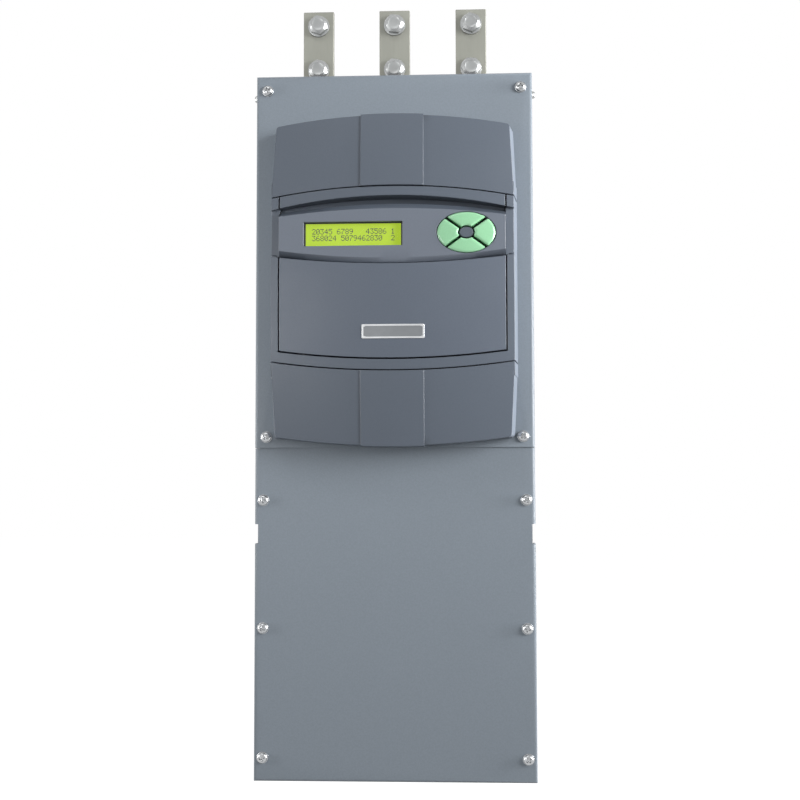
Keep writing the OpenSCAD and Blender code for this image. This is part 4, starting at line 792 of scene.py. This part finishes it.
def drafted_walls(name):
    """Wedges beside a moulding of the housing, wherever its outer wall stands."""
    tree = node_tree(name)
    low, high = [corner / MM for corner in map(Vector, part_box(name))]
    shape = Shape()
    for side in (-1, 1):
        far = high[0] if side > 0 else -low[0]
        run = []
        steps = int((high[2] - low[2]) / DRAFT_STEP)
        # One step past the top closes the last run
        for k in range(steps + 2):
            z = low[2] + END_GAP + (high[2] - low[2] - 2 * END_GAP) * k / steps
            wall = edge = None
            if k <= steps:
                wall = nearest(tree, (side * FAR_OFF, FRONT_Y - WALL_DEPTH, z), (-side, 0, 0))
            if wall is not None:
                edge = nearest(tree, (wall.x - side * EDGE_LEFT, -FAR_OFF, z), (0, 1, 0))
            if edge is None or side * wall.x < far - WALL_REACH:
                if len(run) > 2:
                    shape.loops(run, close_first=True, close_last=True)
                run = []
                continue
            x = side * far if abs(side * far - wall.x) < WALL_SLACK else wall.x
            foot, inner = FRONT_Y - FOOT_GAP, x - side * WALL_SINK
            run.append([(x, edge.y + EDGE_LEFT, z), (x + side * DRAFT, foot, z), (inner, foot, z),
                        (inner, edge.y + EDGE_LEFT * 2, z)])
    # The wedges take the paler copy of the housing plastic as a painted highlight
    shape.piece(name + "_draft", "housing_plastic", "case", look="side_highlight_plastic")


for moulding_name in ("upper_end_cap", "front_frame", "lower_end_cap"):
    drafted_walls(moulding_name)


# Badge: a darker satin field within the plate's bright border

BADGE_BORDER, FIELD_ROUND, FIELD_LIFT = 1.6, 0.8, 0.05
FIELD_COLUMNS, FIELD_ROWS = 24, 6


def badge_field():
    low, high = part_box("badge_plate")
    tree = node_tree("badge_plate")
    x0, x1 = low[0] / MM + BADGE_BORDER, high[0] / MM - BADGE_BORDER
    z0, z1 = low[2] / MM + BADGE_BORDER, high[2] / MM - BADGE_BORDER
    shape = Shape()
    points = []
    for i in range(FIELD_COLUMNS + 1):
        x = x0 + (x1 - x0) * i / FIELD_COLUMNS
        inset = max(0.0, FIELD_ROUND - min(x - x0, x1 - x))
        step = FIELD_ROUND - math.sqrt(max(0.0, FIELD_ROUND ** 2 - inset ** 2))
        for k in range(FIELD_ROWS + 1):
            z = z0 + step + (z1 - z0 - 2 * step) * k / FIELD_ROWS
            points.append((x, nearest(tree, (x, -FAR_OFF, z), (0, 1, 0)).y - FIELD_LIFT, z))
    row = FIELD_ROWS + 1
    shape.add(points, [(i * row + k, (i + 1) * row + k, (i + 1) * row + k + 1, i * row + k + 1)
                       for i in range(FIELD_COLUMNS) for k in range(FIELD_ROWS)])
    shape.piece("badge_field", "badge_metal", "door", look="badge_field")


badge_field()


# Stage: a plain pale floor and background, and soft studio light

FLOOR_HALF, FLOOR_COLOR, FLOOR_GLOW = 6.0, (0.3, 0.3, 0.3, 1), 0.93
# Strength of the background as light on the object
WORLD_LEVEL = 0.24
WHITE = (1, 1, 1, 1)
LIGHT_SPREAD = math.radians(80)
# Each lamp's place, the point it faces, its width and height, and its watts
LIGHTS = {
    "key": ((1.35, -1.0, 0.85), (0, -0.13, 0.75), (0.6, 0.8), 6.4),
    "top": ((-0.3, -0.95, 1.6), (0, -0.13, 0.5), (0.8, 0.3), 0.5),
    "right_rim": ((1.5, -0.3, 0.5), (0, -0.13, 0.42), (0.3, 0.9), 6),
    "left_rim": ((-1.5, -0.5, 0.45), (0, -0.13, 0.4), (0.3, 0.9), 2.5),
    "left_strip": ((-0.75, -1.35, 0.45), (0, -0.13, 0.45), (0.3, 0.5), 0.7),
}


def seen_rays(tree):
    """1 for rays of the camera and through or off glass and metal, 0 for light on the object."""
    path = tree.nodes.new("ShaderNodeLightPath")
    seen = path.outputs["Is Camera Ray"]
    for kind in ("Is Transmission Ray", "Is Glossy Ray"):
        either = tree.nodes.new("ShaderNodeMath")
        either.operation = "MAXIMUM"
        tree.links.new(seen, either.inputs[0])
        tree.links.new(path.outputs[kind], either.inputs[1])
        seen = either.outputs[0]
    return seen


def pale_floor():
    half = FLOOR_HALF
    corners = [(-half, -half, 0), (half, -half, 0), (half, half, 0), (-half, half, 0)]
    mesh = bpy.data.meshes.new("floor")
    mesh.from_pydata(corners, [], [(0, 1, 2, 3)])
    floor = bpy.data.objects.new("floor", mesh)
    bpy.context.scene.collection.objects.link(floor)
    material = bpy.data.materials.new("floor")
    material.use_nodes = True
    tree = material.node_tree
    shader = tree.nodes["Principled BSDF"]
    shader.inputs["Base Color"].default_value = FLOOR_COLOR
    shader.inputs["Roughness"].default_value = 0.9
    shader.inputs["Emission Color"].default_value = WHITE
    shader.inputs["Specular IOR Level"].default_value = 0.0
    glow = tree.nodes.new("ShaderNodeMath")
    glow.operation = "MULTIPLY"
    glow.inputs[1].default_value = FLOOR_GLOW
    tree.links.new(seen_rays(tree), glow.inputs[0])
    tree.links.new(glow.outputs[0], shader.inputs["Emission Strength"])
    floor.data.materials.append(material)


def pale_world():
    """White to the camera and in reflections, a plain level as light."""
    world = bpy.data.worlds.new("world")
    bpy.context.scene.world = world
    world.use_nodes = True
    tree = world.node_tree
    background = tree.nodes["Background"]
    background.inputs["Color"].default_value = WHITE
    level = tree.nodes.new("ShaderNodeMapRange")
    level.inputs["To Min"].default_value = WORLD_LEVEL
    level.inputs["To Max"].default_value = 1.0
    tree.links.new(seen_rays(tree), level.inputs["Value"])
    tree.links.new(level.outputs["Result"], background.inputs["Strength"])


def soft_light(name, at, aim, size, watts):
    data = bpy.data.lights.new(name, "AREA")
    data.shape = "RECTANGLE"
    data.size, data.size_y = size
    data.energy = watts
    data.spread = LIGHT_SPREAD
    light = bpy.data.objects.new(name, data)
    bpy.context.scene.collection.objects.link(light)
    turn = (Vector(aim) - Vector(at)).to_track_quat("-Z", "Y").to_matrix().to_4x4()
    light.matrix_world = Matrix.Translation(at) @ turn


pale_floor()
pale_world()
for lamp, values in LIGHTS.items():
    soft_light(lamp, *values)

bpy.context.scene.view_settings.view_transform = "Standard"
